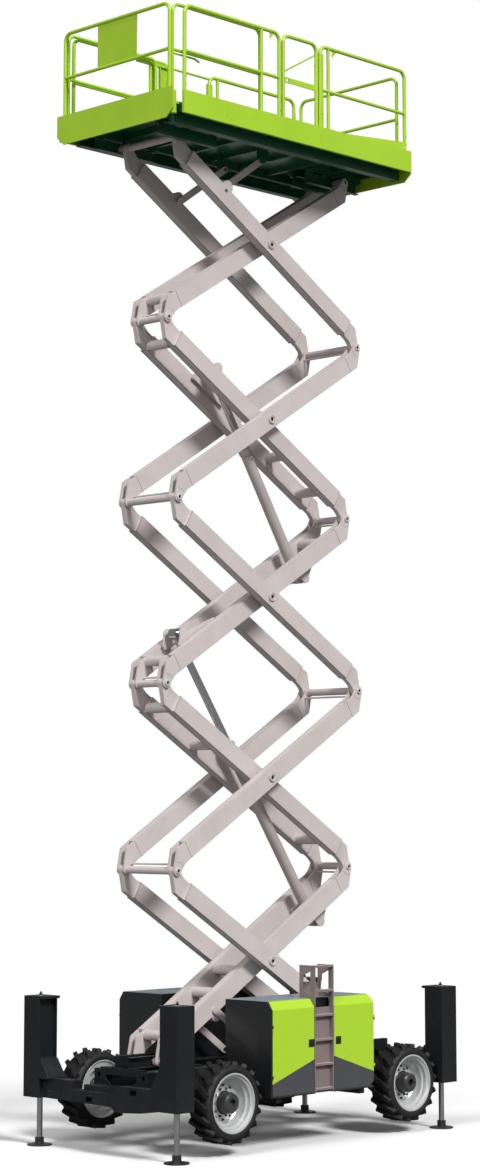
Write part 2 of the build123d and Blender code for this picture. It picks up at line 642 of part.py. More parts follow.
for hand, side in (("left", 1), ("right", -1)):
    with BuildPart() as knuckle:
        bar((FRONT_AXLE_X, side * KINGPIN_Y, AXLE_Z - YOKE + FIT_GAP),
            (FRONT_AXLE_X, side * KINGPIN_Y, AXLE_Z + YOKE - FIT_GAP), YOKE - 6)
        disc((FRONT_AXLE_X, AXLE_Z), SPINDLE_R - 12, mirrored((KINGPIN_Y, KINGPIN_Y + 70), side))
        disc((FRONT_AXLE_X, AXLE_Z), SPINDLE_R, mirrored((KINGPIN_Y + 58, WHEEL_OUT_Y - 70), side))
        block((FRONT_AXLE_X - 150, FRONT_AXLE_X), mirrored((KINGPIN_Y - 28, KINGPIN_Y - 4), side),
              (AXLE_Z - 18, AXLE_Z + 18))
    finish(knuckle.part, f"knuckle_{hand}")


def wheel_place(x, side):
    """Where a wheel drawn about Z, with its outer face up, stands on the machine."""
    return Plane(origin=(x, 0, AXLE_Z), x_dir=(1, 0, 0), z_dir=(0, side, 0)).location


def build_rim():
    """Deep dished rim with a hub, drawn about Z."""
    out = WHEEL_OUT_Y
    back = WHEEL_OUT_Y - TYRE_WIDTH
    rise = HUB_FACE_Y + 22
    profile = (
        (SPINDLE_R + FIT_GAP, HUB_FACE_Y - 34), (HUB_R, HUB_FACE_Y - 34), (HUB_R, HUB_FACE_Y),
        (RIM_R - 84, HUB_FACE_Y), (RIM_R - 66, back + 24), (RIM_R - 16, back + 24),
        (RIM_R, back + 2), (RIM_R + 12, back + 2), (RIM_R - 6, back + 40), (RIM_R - 6, out - 40),
        (RIM_R + 12, out - 6), (RIM_R - 6, out - 6), (RIM_R - 12, out - 26), (RIM_R - 30, out - 34),
        (RIM_R - 34, out - 74), (RIM_R - 56, out - 84), (RIM_R - 62, out - 128),
        (RIM_R - 84, rise + 12), (RIM_R - 100, rise), (HUB_R + 16, rise), (HUB_R + 16, rise + 26),
        (HUB_R, rise + 26), (HUB_R - 4, out - 42), (HUB_R - 22, out - 24),
        (SPINDLE_R + FIT_GAP, out - 24),
    )
    with BuildPart() as rim:
        with BuildSketch(Plane.XZ):
            with BuildLine():
                Polyline(*profile, close=True)
            make_face()
        revolve(axis=Axis.Z)
    return rim.part


def build_tyre():
    """Tyre drawn about Z, with angled lugs from each shoulder to the middle of the tread."""
    out = WHEEL_OUT_Y
    back = WHEEL_OUT_Y - TYRE_WIDTH
    base = TYRE_R - LUG_DEPTH
    seat = RIM_R - 5.5
    middle = (out + back) / 2
    lugs = []
    for row in (1, -1):
        lean = radians(35 * row)
        foot = Plane(origin=(base - 6, 0, middle + row * (TYRE_WIDTH / 4 - 8)), z_dir=(1, 0, 0),
                     x_dir=(0, sin(lean), row * cos(lean)))
        with BuildPart() as lug:
            with BuildSketch(foot):
                Rectangle(TYRE_WIDTH / 2 + 16, 56)
            extrude(amount=LUG_DEPTH + 4, taper=6)
        lugs.append(lug.part)
    with BuildPart() as tyre:
        with BuildSketch(Plane.XZ):
            with BuildLine():
                Line((seat, back + 45), (RIM_R + 14, back + 8))
                ThreePointArc((RIM_R + 14, back + 8), (base - 45, back + 1), (base, back + 30))
                Line((base, back + 30), (base, out - 30))
                ThreePointArc((base, out - 30), (base - 45, out - 1), (RIM_R + 14, out - 8))
                Line((RIM_R + 14, out - 8), (seat, out - 45))
                Line((seat, out - 45), (seat, back + 45))
            make_face()
        revolve(axis=Axis.Z)
        with PolarLocations(0, LUGS):
            add(lugs[0])
        with PolarLocations(0, LUGS, start_angle=180 / LUGS):
            add(lugs[1])
    return tyre.part


RIM = build_rim()
TYRE = build_tyre()
for end, x in (("front", FRONT_AXLE_X), ("rear", REAR_AXLE_X)):
    for hand, side in (("left", 1), ("right", -1)):
        finish(RIM.moved(wheel_place(x, side)), f"rim_{end}_{hand}")
        finish(TYRE.moved(wheel_place(x, side)), f"tyre_{end}_{hand}")


# ================================================================= side covers and doors
def cover_outline(shrink, deep=0):
    """Section across a side cover, seen along X, with the outer top edge cut off.

    deep leaves that much off the outer face, bevel and all.
    """
    y0, y1 = COVER_Y[0] + shrink, COVER_Y[1] - shrink - deep
    z0, z1 = COVER_Z[0] + shrink, COVER_Z[1] - shrink - deep * 0.5
    cut_y, cut_z = COVER_CHAMFER
    return ((y0, z0), (y1, z0), (y1, z1 - cut_z), (y1 - cut_y, z1), (y0, z1))


def add_cover_shape(side, x, shrink, deep=0, mode=Mode.ADD):
    """Extrude the cover's section between two X."""
    points = [(side * y, z) for y, z in cover_outline(shrink, deep)]
    prism(Plane.YZ.offset(x[0]), points, x[1] - x[0], mode)


def add_door_skin(side, x, z0):
    """Outer skin of the cover between two X: the cover's section less a thinner one."""
    outer, inner = cover_outline(0), cover_outline(0, DOOR_THICK)
    top_y = COVER_Y[1] - COVER_CHAMFER[0] - DOOR_THICK
    points = ((inner[1][0], z0), (outer[1][0], z0), outer[2], outer[3],
              (top_y, outer[3][1]), (top_y, inner[3][1]), inner[2])
    prism(Plane.YZ.offset(x[0]), [(side * y, z) for y, z in points], x[1] - x[0])


DOOR_X = (COVER_X[0], COVER_X[1] - 24)
DOOR_SPLITS = {1: (LADDER_X[0] - DOOR_GAP, LADDER_X[1] + DOOR_GAP), -1: (STACK_X - 3, STACK_X + 3)}
DOOR_Z0 = COVER_Z[0] + 20
TOP_EDGE_Y = COVER_Y[1] - COVER_CHAMFER[0] - DOOR_THICK - DOOR_GAP
LIP_Z = COVER_Z[1] - COVER_CHAMFER[1] - DOOR_THICK


HINGE_X = {"front": DOOR_X[1] + DOOR_GAP / 2, "rear": DOOR_X[0] - 4}
HINGE_Z = (COVER_Z[0] + 235, COVER_Z[1] - 255)
HINGE_LEAF = 26


def add_hinge_halves(side, end, on_door):
    """Lower hinge halves on a cover, or the upper ones that stand on them on its door."""
    x = HINGE_X[end]
    y = side * (COVER_Y[1] + HINGE_OUT)
    skin = mirrored((COVER_Y[1] - 1, COVER_Y[1] + HINGE_OUT - 3), side)
    for z in HINGE_Z:
        height = (z + FIT_GAP, z + HINGE_LONG) if on_door else (z - HINGE_LONG, z)
        bar((x, y, height[0]), (x, y, height[1]), HINGE_R)
        if on_door:
            far = x - HINGE_LEAF if end == "front" else x + HINGE_LEAF
            block((min(x, far), max(x, far)), skin, height)
        elif end == "front":
            block((x, COVER_X[1]), skin, height)
        else:
            inner = COVER_Y[1] - 2.5 * HINGE_LEAF
            block((x - 4, x + 2), mirrored((inner, COVER_Y[1] + HINGE_OUT), side), height)
            block((x - 4, COVER_X[0] + 1),
                  mirrored((inner, COVER_Y[1] - DOOR_THICK - DOOR_GAP - 4), side), height)


def cut_door_corners(side):
    """Round a rear door's top rear corner and bevel the one under it."""
    deep = 200
    start = -COVER_Y[1] - 5 if side > 0 else COVER_Y[1] + 5 - deep
    plane = Plane.XZ.offset(start)
    x, z = DOOR_X[0], COVER_Z[1]
    r = DOOR_ROUND
    with BuildSketch(plane) as corner:
        with BuildLine() as edge:
            Line((x - 5, z - r), (x - 5, z + 5))
            Line((x - 5, z + 5), (x + r, z + 5))
            Line((x + r, z + 5), (x + r, z))
            ThreePointArc((x + r, z), (x + 0.293 * r, z - 0.293 * r), (x, z - r))
            Line((x, z - r), (x - 5, z - r))
        make_face(edge.edges())
    extrude(corner.sketch, amount=deep, mode=Mode.SUBTRACT)
    prism(plane, ((x - 5, DOOR_Z0 - 5), (x + COVER_REAR_CUT, DOOR_Z0 - 5),
                  (x, DOOR_Z0 + COVER_REAR_CUT * 0.6), (x - 5, DOOR_Z0 + COVER_REAR_CUT * 0.6)),
          deep, Mode.SUBTRACT)


for hand, side in (("left", 1), ("right", -1)):
    with BuildPart() as cover:
        add_cover_shape(side, COVER_X, 0)
        add_cover_shape(side, (COVER_X[0] + COVER_WALL, COVER_X[1] - COVER_WALL), COVER_WALL,
                        mode=Mode.SUBTRACT)
        span = (DOOR_X[0] - DOOR_GAP, DOOR_X[1] + DOOR_GAP)
        block(span, mirrored((TOP_EDGE_Y, COVER_Y[1] + 5), side), (LIP_Z, COVER_Z[1] + 5),
              Mode.SUBTRACT)
        block(span, mirrored((COVER_Y[1] - DOOR_THICK - DOOR_GAP, COVER_Y[1] + 5), side),
              (DOOR_Z0 - DOOR_GAP, COVER_Z[1]), Mode.SUBTRACT)
        for end in ("front", "rear"):
            add_hinge_halves(side, end, False)
        if side > 0:
            back = COVER_Y[1] - LADDER_DEPTH
            column = (LADDER_X[0] - 22, LADDER_X[1] + 22)
            block(column, (back - 30, back), (COVER_Z[0] + 5, LIP_Z))
            block(column, (TOP_EDGE_Y - 32, back), (LIP_Z - 20, LIP_Z))
            block(column, (TOP_EDGE_Y - 32, TOP_EDGE_Y - 12), (LIP_Z - 20, COVER_Z[1]))
            block((LADDER_X[0] + 1, LADDER_X[1] - 1), (back, COVER_Y[1] + 5),
                  (COVER_Z[0] - 5, COVER_Z[1] + 5), Mode.SUBTRACT)
    finish(cover.part, f"cover_{hand}")
    for end, x in (("front", (DOOR_SPLITS[side][1], DOOR_X[1])),
                   ("rear", (DOOR_X[0], DOOR_SPLITS[side][0]))):
        with BuildPart() as door:
            add_door_skin(side, x, DOOR_Z0)
            if end == "rear":
                cut_door_corners(side)
            add_hinge_halves(side, end, True)
        finish(door.part, f"door_{end}_{hand}")

with BuildPart() as engine:
    floor = COVER_Z[0] + COVER_WALL
    block((STACK_X - ENGINE[0] / 2, STACK_X + ENGINE[0] / 2),
          (-COVER_Y[1] + 120, -COVER_Y[1] + 120 + ENGINE[1]), (floor, floor + ENGINE[2]))
finish(engine.part, "engine_block")

with BuildPart() as ladder:
    ys = (COVER_Y[1] - LADDER_DEPTH, COVER_Y[1] + 3)
    head_z = COVER_Z[1] + 8
    inside = (LADDER_X[0] + 3, LADDER_X[1] - 3)
    for x in (inside[0], inside[1] - LADDER_PLATE):
        block((x, x + LADDER_PLATE), ys, (COVER_Z[0] + 3, LADDER_TOP_Z))
        block((x, x + LADDER_PLATE), (ys[1] - LADDER_HEAD, ys[1]), (head_z, LADDER_TOP_Z))
        hole = ((ys[1] - LADDER_HEAD + 40, head_z + 80), (ys[1] - LADDER_DEPTH - 8, head_z + 30),
                (ys[1] - LADDER_DEPTH - 8, LADDER_TOP_Z - 62),
                (ys[1] - LADDER_HEAD + 60, LADDER_TOP_Z - 110))
        prism(Plane.YZ.offset(x - 1), hole, LADDER_PLATE + 2, Mode.SUBTRACT)
    block(inside, (ys[0], ys[0] + LADDER_BACK), (COVER_Z[0] + 3, COVER_Z[1] - 100))
    block(inside, (ys[1] - LADDER_HEAD, ys[1] - LADDER_HEAD + LADDER_BACK),
          (head_z, LADDER_TOP_Z - 190))
    for i in range(STEPS):
        z = LADDER_TOP_Z - STEP_PLATE[1] - i * STEP_PITCH
        block(inside, (ys[1] - STEP_PLATE[0], ys[1]), (z, z + STEP_PLATE[1]))
finish(ladder.part, "ladder")


# ================================================================= platform
def rail_hoop(points, radius=RAIL_TUBE_R, bend=RAIL_BEND):
    """One round tube through a list of points, with rounded corners."""
    with BuildLine() as path:
        FilletPolyline(*points, radius=bend)
    with BuildSketch(Plane(origin=path.line @ 0, z_dir=path.line % 0)) as ring:
        Circle(radius)
    sweep(ring.sketch, path=path.line)


UNDER_PLATE = DECK_Z[1] - DECK_PLATE
INNER_BEAM_Y = (roller_span(True)[0] + 22, roller_span(True)[1] + 30)
OUTER_BEAM_Y = (roller_span(False)[1] - 30, roller_span(False)[1] + 30)
with BuildPart() as deck:
    block(DECK_X, (-DECK_Y, DECK_Y), (UNDER_PLATE, DECK_Z[1]))
    for side in (1, -1):
        block(DECK_X, mirrored((DECK_Y - 60, DECK_Y), side), (DECK_Z[0] + 20, DECK_Z[1]))
        block(DECK_X, mirrored(SIDE_BEAM_Y, side), (DECK_Z[0] - SIDE_BEAM_DROP, UNDER_PLATE))
        block(DECK_X, mirrored((SIDE_BEAM_Y[0] - 40, SIDE_BEAM_Y[1]), side),
              (DECK_Z[0] - SIDE_BEAM_DROP, DECK_Z[0] - SIDE_BEAM_DROP + 12))
        block(REAR_TRACK_X, mirrored(INNER_BEAM_Y, side), (DECK_Z[0], UNDER_PLATE))
        block(DECK_X, mirrored(OUTER_BEAM_Y, side), (DECK_Z[0], UNDER_PLATE))
    for i in range(CROSS_MEMBERS):
        x = DECK_X[0] + (DECK_X[1] - DECK_X[0] - 50) * i / (CROSS_MEMBERS - 1)
        block((x, x + 50), (-DECK_Y, DECK_Y), (UNDER_PLATE - CROSS_DROP, UNDER_PLATE))
    block((DECK_X[0] + 60, EXTENSION_X - 20), (-RAIL_LINE_Y + 130, RAIL_LINE_Y - 130),
          (DECK_Z[1], DECK_Z[1] + FLOOR_PLATE))
    add_foot_rail(True, REAR_TRACK_X, TOP_PIN_Z)
    add_foot_rail(False, FRONT_TRACK_X, TOP_PIN_Z)
    for side in (1, -1):
        roof = TOP_PIN_Z + ROLLER_R + FIT_GAP + RAIL_PLATE
        for inner_chain, track in ((True, REAR_TRACK_X), (False, FRONT_TRACK_X)):
            span = roller_span(inner_chain)
            for x in (track[0], (track[0] + track[1] - 80) / 2, track[1] - 80):
                block((x, x + 80), mirrored(span, side), (roof - 1, DECK_Z[0] + 40))
        lug = mirrored(LINK_LUG_Y, side)
        block((STACK_X - 90, STACK_X + 90), lug, (TOP_PIN_Z, UNDER_PLATE))
        block((STACK_X - 60, STACK_X + 60), mirrored((LINK_LUG_Y[0], OUTER_BEAM_Y[0] + 5), side),
              (UNDER_PLATE - CROSS_DROP, UNDER_PLATE))
        disc(TOP_HUB, CENTRING_DEPTH / 2, lug)
        disc(TOP_HUB, LINK_PIN_R, mirrored((LINK_Y[0], LINK_LUG_Y[0]), side))
finish(deck.part, "platform_deck")

END_BOARD_Z = (DECK_Z[0] - BOARD_DROP - 45, TOE_TOP_Z)
with BuildPart() as toe_boards:
    for side in (1, -1):
        block(DECK_X, mirrored((DECK_Y, TOE_Y), side), (DECK_Z[0], TOE_TOP_Z))
    low, high = END_BOARD_Z
    edge, cut = TOE_Y, BOARD_CUT
    prism(Plane.YZ.offset(DECK_X[0] - BOARD_PLATE), (
        (-edge, high), (edge, high), (edge, low + cut[1]), (edge - cut[0], low),
        (cut[0] - edge, low), (-edge, low + cut[1])), BOARD_PLATE)
finish(toe_boards.part, "toe_boards")

TOP_Z = RAIL_TOP_Z - RAIL_TUBE_R
MID_Z = RAIL_MID_Z - RAIL_TUBE_R
FOOT = DECK_Z[1]
SECTION_ENDS = (GATE_X[0] - POST_GAP, GATE_X[1] + POST_GAP)
# columns: end post beside the gate, far post, further post between them
RAIL_SECTIONS = (
    (SECTION_ENDS[1], MAIN_POST_X, SECTION_ENDS[1] + 297),
    (SECTION_ENDS[0], REAR_POST_X, SECTION_ENDS[0] - 141),
)
GATE_HINGE = (GATE_X[0] - GATE_HINGE_X, RAIL_LINE_Y - HINGE_IN)
GATE_HINGE_Z = (TOE_TOP_Z + 160, MID_Z + 260)
with BuildPart() as guard_rails:
    for side in (1, -1):
        y = side * RAIL_LINE_Y
        for gate_post, far_post, inner_post in RAIL_SECTIONS:
            rail_hoop(((gate_post, y, FOOT), (gate_post, y, TOP_Z), (far_post, y, TOP_Z),
                       (far_post, y, FOOT)))
            bar((gate_post, y, MID_Z), (far_post, y, MID_Z), RAIL_TUBE_R - 2)
            bar((inner_post, y, FOOT), (inner_post, y, TOP_Z), RAIL_TUBE_R - 2)
        hinge_z = (FOOT, TOP_Z - RAIL_BEND)
        x = SECTION_ENDS[0]
        block((x - HINGE_POST[0] / 2, x + HINGE_POST[0] / 2 - 4),
              mirrored((RAIL_LINE_Y - HINGE_POST[1] / 2, RAIL_LINE_Y + 16), side), hinge_z)
        start, end = SECTION_ENDS[0] - 141, REAR_POST_X
        block((end, start), mirrored((RAIL_LINE_Y - 4, RAIL_LINE_Y + 4), side), (FOOT, TOE_TOP_Z))
        plane = Plane.XZ.offset(-side * RAIL_LINE_Y - 4)
        prism(plane, ((start, TOE_TOP_Z - 5), (end, TOE_TOP_Z - 5), (end, WEDGE_TOP_Z),
                      (start - 60, TOE_TOP_Z)), 8)
    for z in GATE_HINGE_Z:
        bar((*GATE_HINGE, z - HINGE_LONG), (*GATE_HINGE, z), GATE_HINGE_R)
        block((SECTION_ENDS[0] + 20, GATE_HINGE[0]),
              (GATE_HINGE[1] - 3, RAIL_LINE_Y - HINGE_POST[1] / 2 + 1), (z - HINGE_LONG, z))
    bar((SECTION_ENDS[0], -RAIL_LINE_Y, TOP_Z - 30), (SECTION_ENDS[1], -RAIL_LINE_Y, TOP_Z - 30), 14)
    bar((SECTION_ENDS[0], -RAIL_LINE_Y, MID_Z), (SECTION_ENDS[1], -RAIL_LINE_Y, MID_Z), 14)
    x = REAR_POST_X
    rail_hoop(((x, -END_HOOP_Y, FOOT), (x, -END_HOOP_Y, TOP_Z - 45), (x, END_HOOP_Y, TOP_Z - 45),
               (x, END_HOOP_Y, FOOT)), RAIL_TUBE_R - 2)
    bar((x, -END_HOOP_Y, MID_Z - 45), (x, END_HOOP_Y, MID_Z - 45), RAIL_TUBE_R - 3)
finish(guard_rails.part, "guard_rails")

with BuildPart() as gate:
    y = RAIL_LINE_Y
    x0, x1 = GATE_X
    low = TOE_TOP_Z - 70
    rail_hoop(((x0, y, low), (x0, y, TOP_Z), (x1, y, TOP_Z), (x1, y, low)))
    bar((x0, y, low + 20), (x1, y, low + 20), RAIL_TUBE_R - 4)
    block((x0, x1), (y - 6, y + 6), (MID_Z - 34, MID_Z + 30))
    block((x1 - 90, x1 - 50), (y - 10, y + 10), (MID_Z - 20, MID_Z + 18), Mode.SUBTRACT)
    for z in GATE_HINGE_Z:
        bar((*GATE_HINGE, z + FIT_GAP), (*GATE_HINGE, z + HINGE_LONG), GATE_HINGE_R)
        block((GATE_HINGE[0], x0), (GATE_HINGE[1] - 3, GATE_HINGE[1] + 14),
              (z + FIT_GAP, z + HINGE_LONG))
finish(gate.part, "gate")

EXT_Z = DECK_Z[1] + FIT_GAP
EXT_FLOOR = EXT_Z + 30
BOARD_X = FRONT_RAIL_X + RAIL_TUBE_R + 1
with BuildPart() as extension_deck:
    block((EXTENSION_X, BOARD_X), (-EXT_LINE_Y - 24, EXT_LINE_Y + 24), (EXT_Z, EXT_FLOOR))
    low, high = DECK_Z[0] - BOARD_DROP, TOE_TOP_Z + 20
    edge, cut = TOE_Y - 22, BOARD_CUT
    prism(Plane.YZ.offset(BOARD_X - 1), (
        (-edge, high), (edge, high), (edge, low + cut[1]), (edge - cut[0], low),
        (cut[0] - edge, low), (-edge, low + cut[1])), BOARD_PLATE)
    for side in (1, -1):
        block((BOARD_X - 60, BOARD_X), mirrored((EXT_LINE_Y + 30, DECK_Y - 8), side),
              (DECK_Z[0] - 20, TOE_TOP_Z - 20))
finish(extension_deck.part, "extension_deck")

with BuildPart() as extension_rails:
    loop_y = EXT_LINE_Y + 4
    hoop_x = FRONT_RAIL_X - 2 * RAIL_TUBE_R - 2
    x = FRONT_RAIL_X
    foot = EXT_FLOOR + FIT_GAP
    rail_hoop(((x, -loop_y, foot), (x, -loop_y, TOP_Z), (x, loop_y, TOP_Z), (x, loop_y, foot)))
    bar((x, -loop_y, MID_Z), (x, loop_y, MID_Z), RAIL_TUBE_R - 2)
    block((x - 5, x + 5), PANEL_Y, (MID_Z, TOP_Z))
    for side in (1, -1):
        y = side * EXT_LINE_Y
        back = EXTENSION_X + 30
        rail_hoop(((back, y, foot), (back, y, TOP_Z), (hoop_x, y, TOP_Z), (hoop_x, y, foot)),
                  RAIL_TUBE_R - 3)
        bar((back, y, MID_Z), (hoop_x, y, MID_Z), RAIL_TUBE_R - 4)
finish(extension_rails.part, "extension_rails")
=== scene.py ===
# %% [markdown]
# # A rough-terrain scissor lift, dressed for a studio picture
#
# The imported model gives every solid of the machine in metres, in one frame: +X to the
# steered front end, +Y to the side with the ladder and +Z up.  This lesson loads it, places
# a camera and soft light, mixes the finishes of paint, steel and rubber as node materials,
# and then adds the small parts that a maker bolts or welds on last.  Nothing here changes
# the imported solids: each new piece is given to the body that carries it and rides with it.

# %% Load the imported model
import json
import math

import bmesh
import bpy
from mathutils import Matrix, Vector


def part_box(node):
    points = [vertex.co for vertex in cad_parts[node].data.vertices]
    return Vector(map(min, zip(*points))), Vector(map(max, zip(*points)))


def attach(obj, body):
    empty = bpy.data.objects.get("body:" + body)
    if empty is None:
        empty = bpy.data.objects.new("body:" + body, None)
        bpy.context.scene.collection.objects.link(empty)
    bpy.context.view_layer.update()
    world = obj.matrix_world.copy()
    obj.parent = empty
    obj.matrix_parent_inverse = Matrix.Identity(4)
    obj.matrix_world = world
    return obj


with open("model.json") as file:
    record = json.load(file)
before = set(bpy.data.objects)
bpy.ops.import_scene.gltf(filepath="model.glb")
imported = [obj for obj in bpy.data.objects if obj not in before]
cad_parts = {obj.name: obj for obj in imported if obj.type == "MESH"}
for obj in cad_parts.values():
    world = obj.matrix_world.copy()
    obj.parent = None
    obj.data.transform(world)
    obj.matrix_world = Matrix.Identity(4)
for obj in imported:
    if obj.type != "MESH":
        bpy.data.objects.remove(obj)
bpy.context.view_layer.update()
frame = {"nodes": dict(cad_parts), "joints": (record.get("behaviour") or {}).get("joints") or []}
nodes = frame["nodes"]
joint_at = {j["name"]: Vector(j["pos_m"]) for j in frame["joints"] if j.get("pos_m")}


# %% [markdown]
# ## The camera
#
# A long lens far away keeps the tall stack of arms almost parallel, yet shows it from a
# little below, so that the underside of the platform can be seen.  The camera is placed by
# its position, its heading and how far it looks up.  A small vertical shift of the lens does
# what an architect's camera does: it frames the tall machine without tilting further.

# %% Place the camera
CAMERA_AT = Vector((21.38565, 20.93016, 3.71546))
HEADING = math.radians(-45.49186)
LOOK_UP = math.radians(6.99716)
FOCAL_SHARE = 2.195361466              # focal length as a share of the frame's height
SHIFT_UP = -0.081765558
SENSOR = 36                            # width of the sensor, in millimetres


def aim_camera():
    """Camera object at CAMERA_AT, turned by its heading and look-up angle."""
    forward = Vector((math.sin(HEADING) * math.cos(LOOK_UP),
                      -math.cos(HEADING) * math.cos(LOOK_UP), math.sin(LOOK_UP)))
    right = forward.cross(Vector((0, 0, 1))).normalized()
    up = right.cross(forward)
    data = bpy.data.cameras.new("camera")
    data.sensor_width = SENSOR
    data.lens = SENSOR * FOCAL_SHARE
    data.shift_y = SHIFT_UP
    data.clip_end = 200
    camera = bpy.data.objects.new("camera", data)
    turn = Matrix((right, up, -forward)).transposed().to_4x4()
    camera.matrix_world = Matrix.Translation(CAMERA_AT) @ turn
    bpy.context.scene.collection.objects.link(camera)
    return camera


bpy.context.scene.camera = aim_camera()
bpy.context.scene.view_settings.view_transform = "Standard"
print("camera lens", round(bpy.context.scene.camera.data.lens, 2), "mm")


# %% [markdown]
# ## Node helpers
#
# A material is a small graph.  A few short helpers keep the graphs readable.  One adds a
# node and feeds its sockets, one turns a paint chart colour into the linear numbers that a
# shader wants, and one starts a node group with named sockets.  The others stand for the
# nodes that return most: a sum, a change of range, a cloud of noise and one coordinate.

# %% Helpers for node graphs
def linear(code):
    """Linear colour from a six digit chart code."""
    values = [int(code[i:i + 2], 16) / 255 for i in (0, 2, 4)]
    return (*[v / 12.92 if v <= 0.04045 else ((v + 0.055) / 1.055) ** 2.4 for v in values], 1)


def feed(tree, node, values):
    """Link a node's socket to another socket, or give it a plain value."""
    for key, value in values.items():
        if isinstance(value, bpy.types.NodeSocket):
            tree.links.new(value, node.inputs[key])
        else:
            node.inputs[key].default_value = value


def put(tree, kind, links=None, **settings):
    """Add a node; settings are the node's properties and links feed its sockets."""
    node = tree.nodes.new(kind)
    for key, value in settings.items():
        setattr(node, key, value)
    feed(tree, node, links or {})
    return node


def start_group(name, inputs, outputs):
    """Node group with its sockets; returns the tree and its input and output nodes."""
    tree = bpy.data.node_groups.new(name, "ShaderNodeTree")
    for title, kind, value in inputs:
        socket = tree.interface.new_socket(title, in_out="INPUT", socket_type=kind)
        if value is not None:
            socket.default_value = value
    for title, kind in outputs:
        tree.interface.new_socket(title, in_out="OUTPUT", socket_type=kind)
    return tree, tree.nodes.new("NodeGroupInput"), tree.nodes.new("NodeGroupOutput")


def maths(tree, operation, *values, clamp=False):
    """Result of one sum on one to three values."""
    return put(tree, "ShaderNodeMath", dict(enumerate(values)), operation=operation,
               use_clamp=clamp).outputs[0]


def remap(tree, value, low, high, to_low=0.0, to_high=1.0):
    """Value moved from one range to another, and held inside it."""
    return put(tree, "ShaderNodeMapRange", {"Value": value, "From Min": low, "From Max": high,
                                            "To Min": to_low, "To Max": to_high}).outputs[0]


def noise(tree, scale, detail, roughness=0.5):
    """Cloud of noise that stays fixed to the solid."""
    place = put(tree, "ShaderNodeTexCoord")
    return put(tree, "ShaderNodeTexNoise", {
        "Vector": place.outputs["Object"], "Scale": scale, "Detail": detail,
        "Roughness": roughness}).outputs["Fac"]


def coordinate(tree, kind, axis):
    """One part of the place (Object) or of the outward direction (Normal)."""
    place = put(tree, "ShaderNodeTexCoord")
    return put(tree, "ShaderNodeSeparateXYZ", {0: place.outputs[kind]}).outputs[axis]


def blend_colour(tree, share, first, second):
    """Colour between two colours, each of them a socket or a value."""
    node = put(tree, "ShaderNodeMix", data_type="RGBA")
    feed(tree, node, {0: share, 6: first, 7: second})
    return node.outputs[2]


FLOAT, VECTOR = "NodeSocketFloat", "NodeSocketVector"

# %% [markdown]
# ## Shared effects
#
# Three effects return on nearly every part, so each is a node group.  *Rubbed edges* finds
# the sharp edges by comparing the true normal with one rounded over a few millimetres, and
# breaks the band up with noise, as handling does.  *Settled dust* lies on faces that look up
# and on whatever is near the ground.  *Sprayed skin* is the faint orange peel of machine
# paint, together with slow patches where the finish is a little duller.

# %% Build the shared effect groups
def build_rubbed_edges():
    """Mask of worn edges, and a normal that rounds them."""
    tree, gin, gout = start_group(
        "rubbed_edges",
        [("Radius", FLOAT, 0.004), ("Amount", FLOAT, 0.5), ("Scale", FLOAT, 9.0)],
        [("Mask", FLOAT), ("Normal", VECTOR)])
    soft = put(tree, "ShaderNodeBevel", {"Radius": gin.outputs["Radius"]}, samples=4)
    true = put(tree, "ShaderNodeNewGeometry")
    dot = put(tree, "ShaderNodeVectorMath", {0: soft.outputs[0], 1: true.outputs["Normal"]},
              operation="DOT_PRODUCT")
    edge = remap(tree, dot.outputs["Value"], 0.995, 0.86)
    broken = remap(tree, noise(tree, gin.outputs["Scale"], 6.0, 0.7), 0.42, 0.66)
    both = maths(tree, "MULTIPLY", edge, broken)
    mask = maths(tree, "MULTIPLY", both, gin.outputs["Amount"], clamp=True)
    tree.links.new(mask, gout.inputs["Mask"])
    tree.links.new(soft.outputs[0], gout.inputs["Normal"])
    return tree


def build_settled_dust():
    """Mask of dust on upward faces and low down on the machine."""
    tree, gin, gout = start_group(
        "settled_dust",
        [("Top", FLOAT, 0.25), ("Low", FLOAT, 0.4), ("Height", FLOAT, 0.9)], [("Mask", FLOAT)])
    up = remap(tree, coordinate(tree, "Normal", "Z"), 0.5, 1.0)
    lying = maths(tree, "MULTIPLY", up, gin.outputs["Top"])
    share = maths(tree, "DIVIDE", coordinate(tree, "Object", "Z"), gin.outputs["Height"])
    near = maths(tree, "SUBTRACT", 1.0, share, clamp=True)
    low = maths(tree, "MULTIPLY", near, gin.outputs["Low"])
    patch = remap(tree, noise(tree, 5.0, 8.0, 0.65), 0.35, 0.7)
    total = maths(tree, "ADD", lying, low)
    mask = maths(tree, "MULTIPLY", total, patch, clamp=True)
    tree.links.new(mask, gout.inputs["Mask"])
    return tree


def build_sprayed_skin():
    """Slow patches in the gloss and the fine waviness of sprayed paint."""
    tree, gin, gout = start_group(
        "sprayed_skin",
        [("Peel", FLOAT, 60.0), ("Depth", FLOAT, 0.05), ("Normal", VECTOR, None)],
        [("Patch", FLOAT), ("Normal", VECTOR)])
    fine = noise(tree, gin.outputs["Peel"], 2.0)
    bump = put(tree, "ShaderNodeBump", {"Height": fine, "Distance": 0.002,
                                        "Strength": gin.outputs["Depth"],
                                        "Normal": gin.outputs["Normal"]})
    tree.links.new(noise(tree, 1.7, 4.0), gout.inputs["Patch"])
    tree.links.new(bump.outputs["Normal"], gout.inputs["Normal"])
    return tree


EDGES, DUST, SKIN = build_rubbed_edges(), build_settled_dust(), build_sprayed_skin()
print("effect groups:", EDGES.name, DUST.name, SKIN.name)
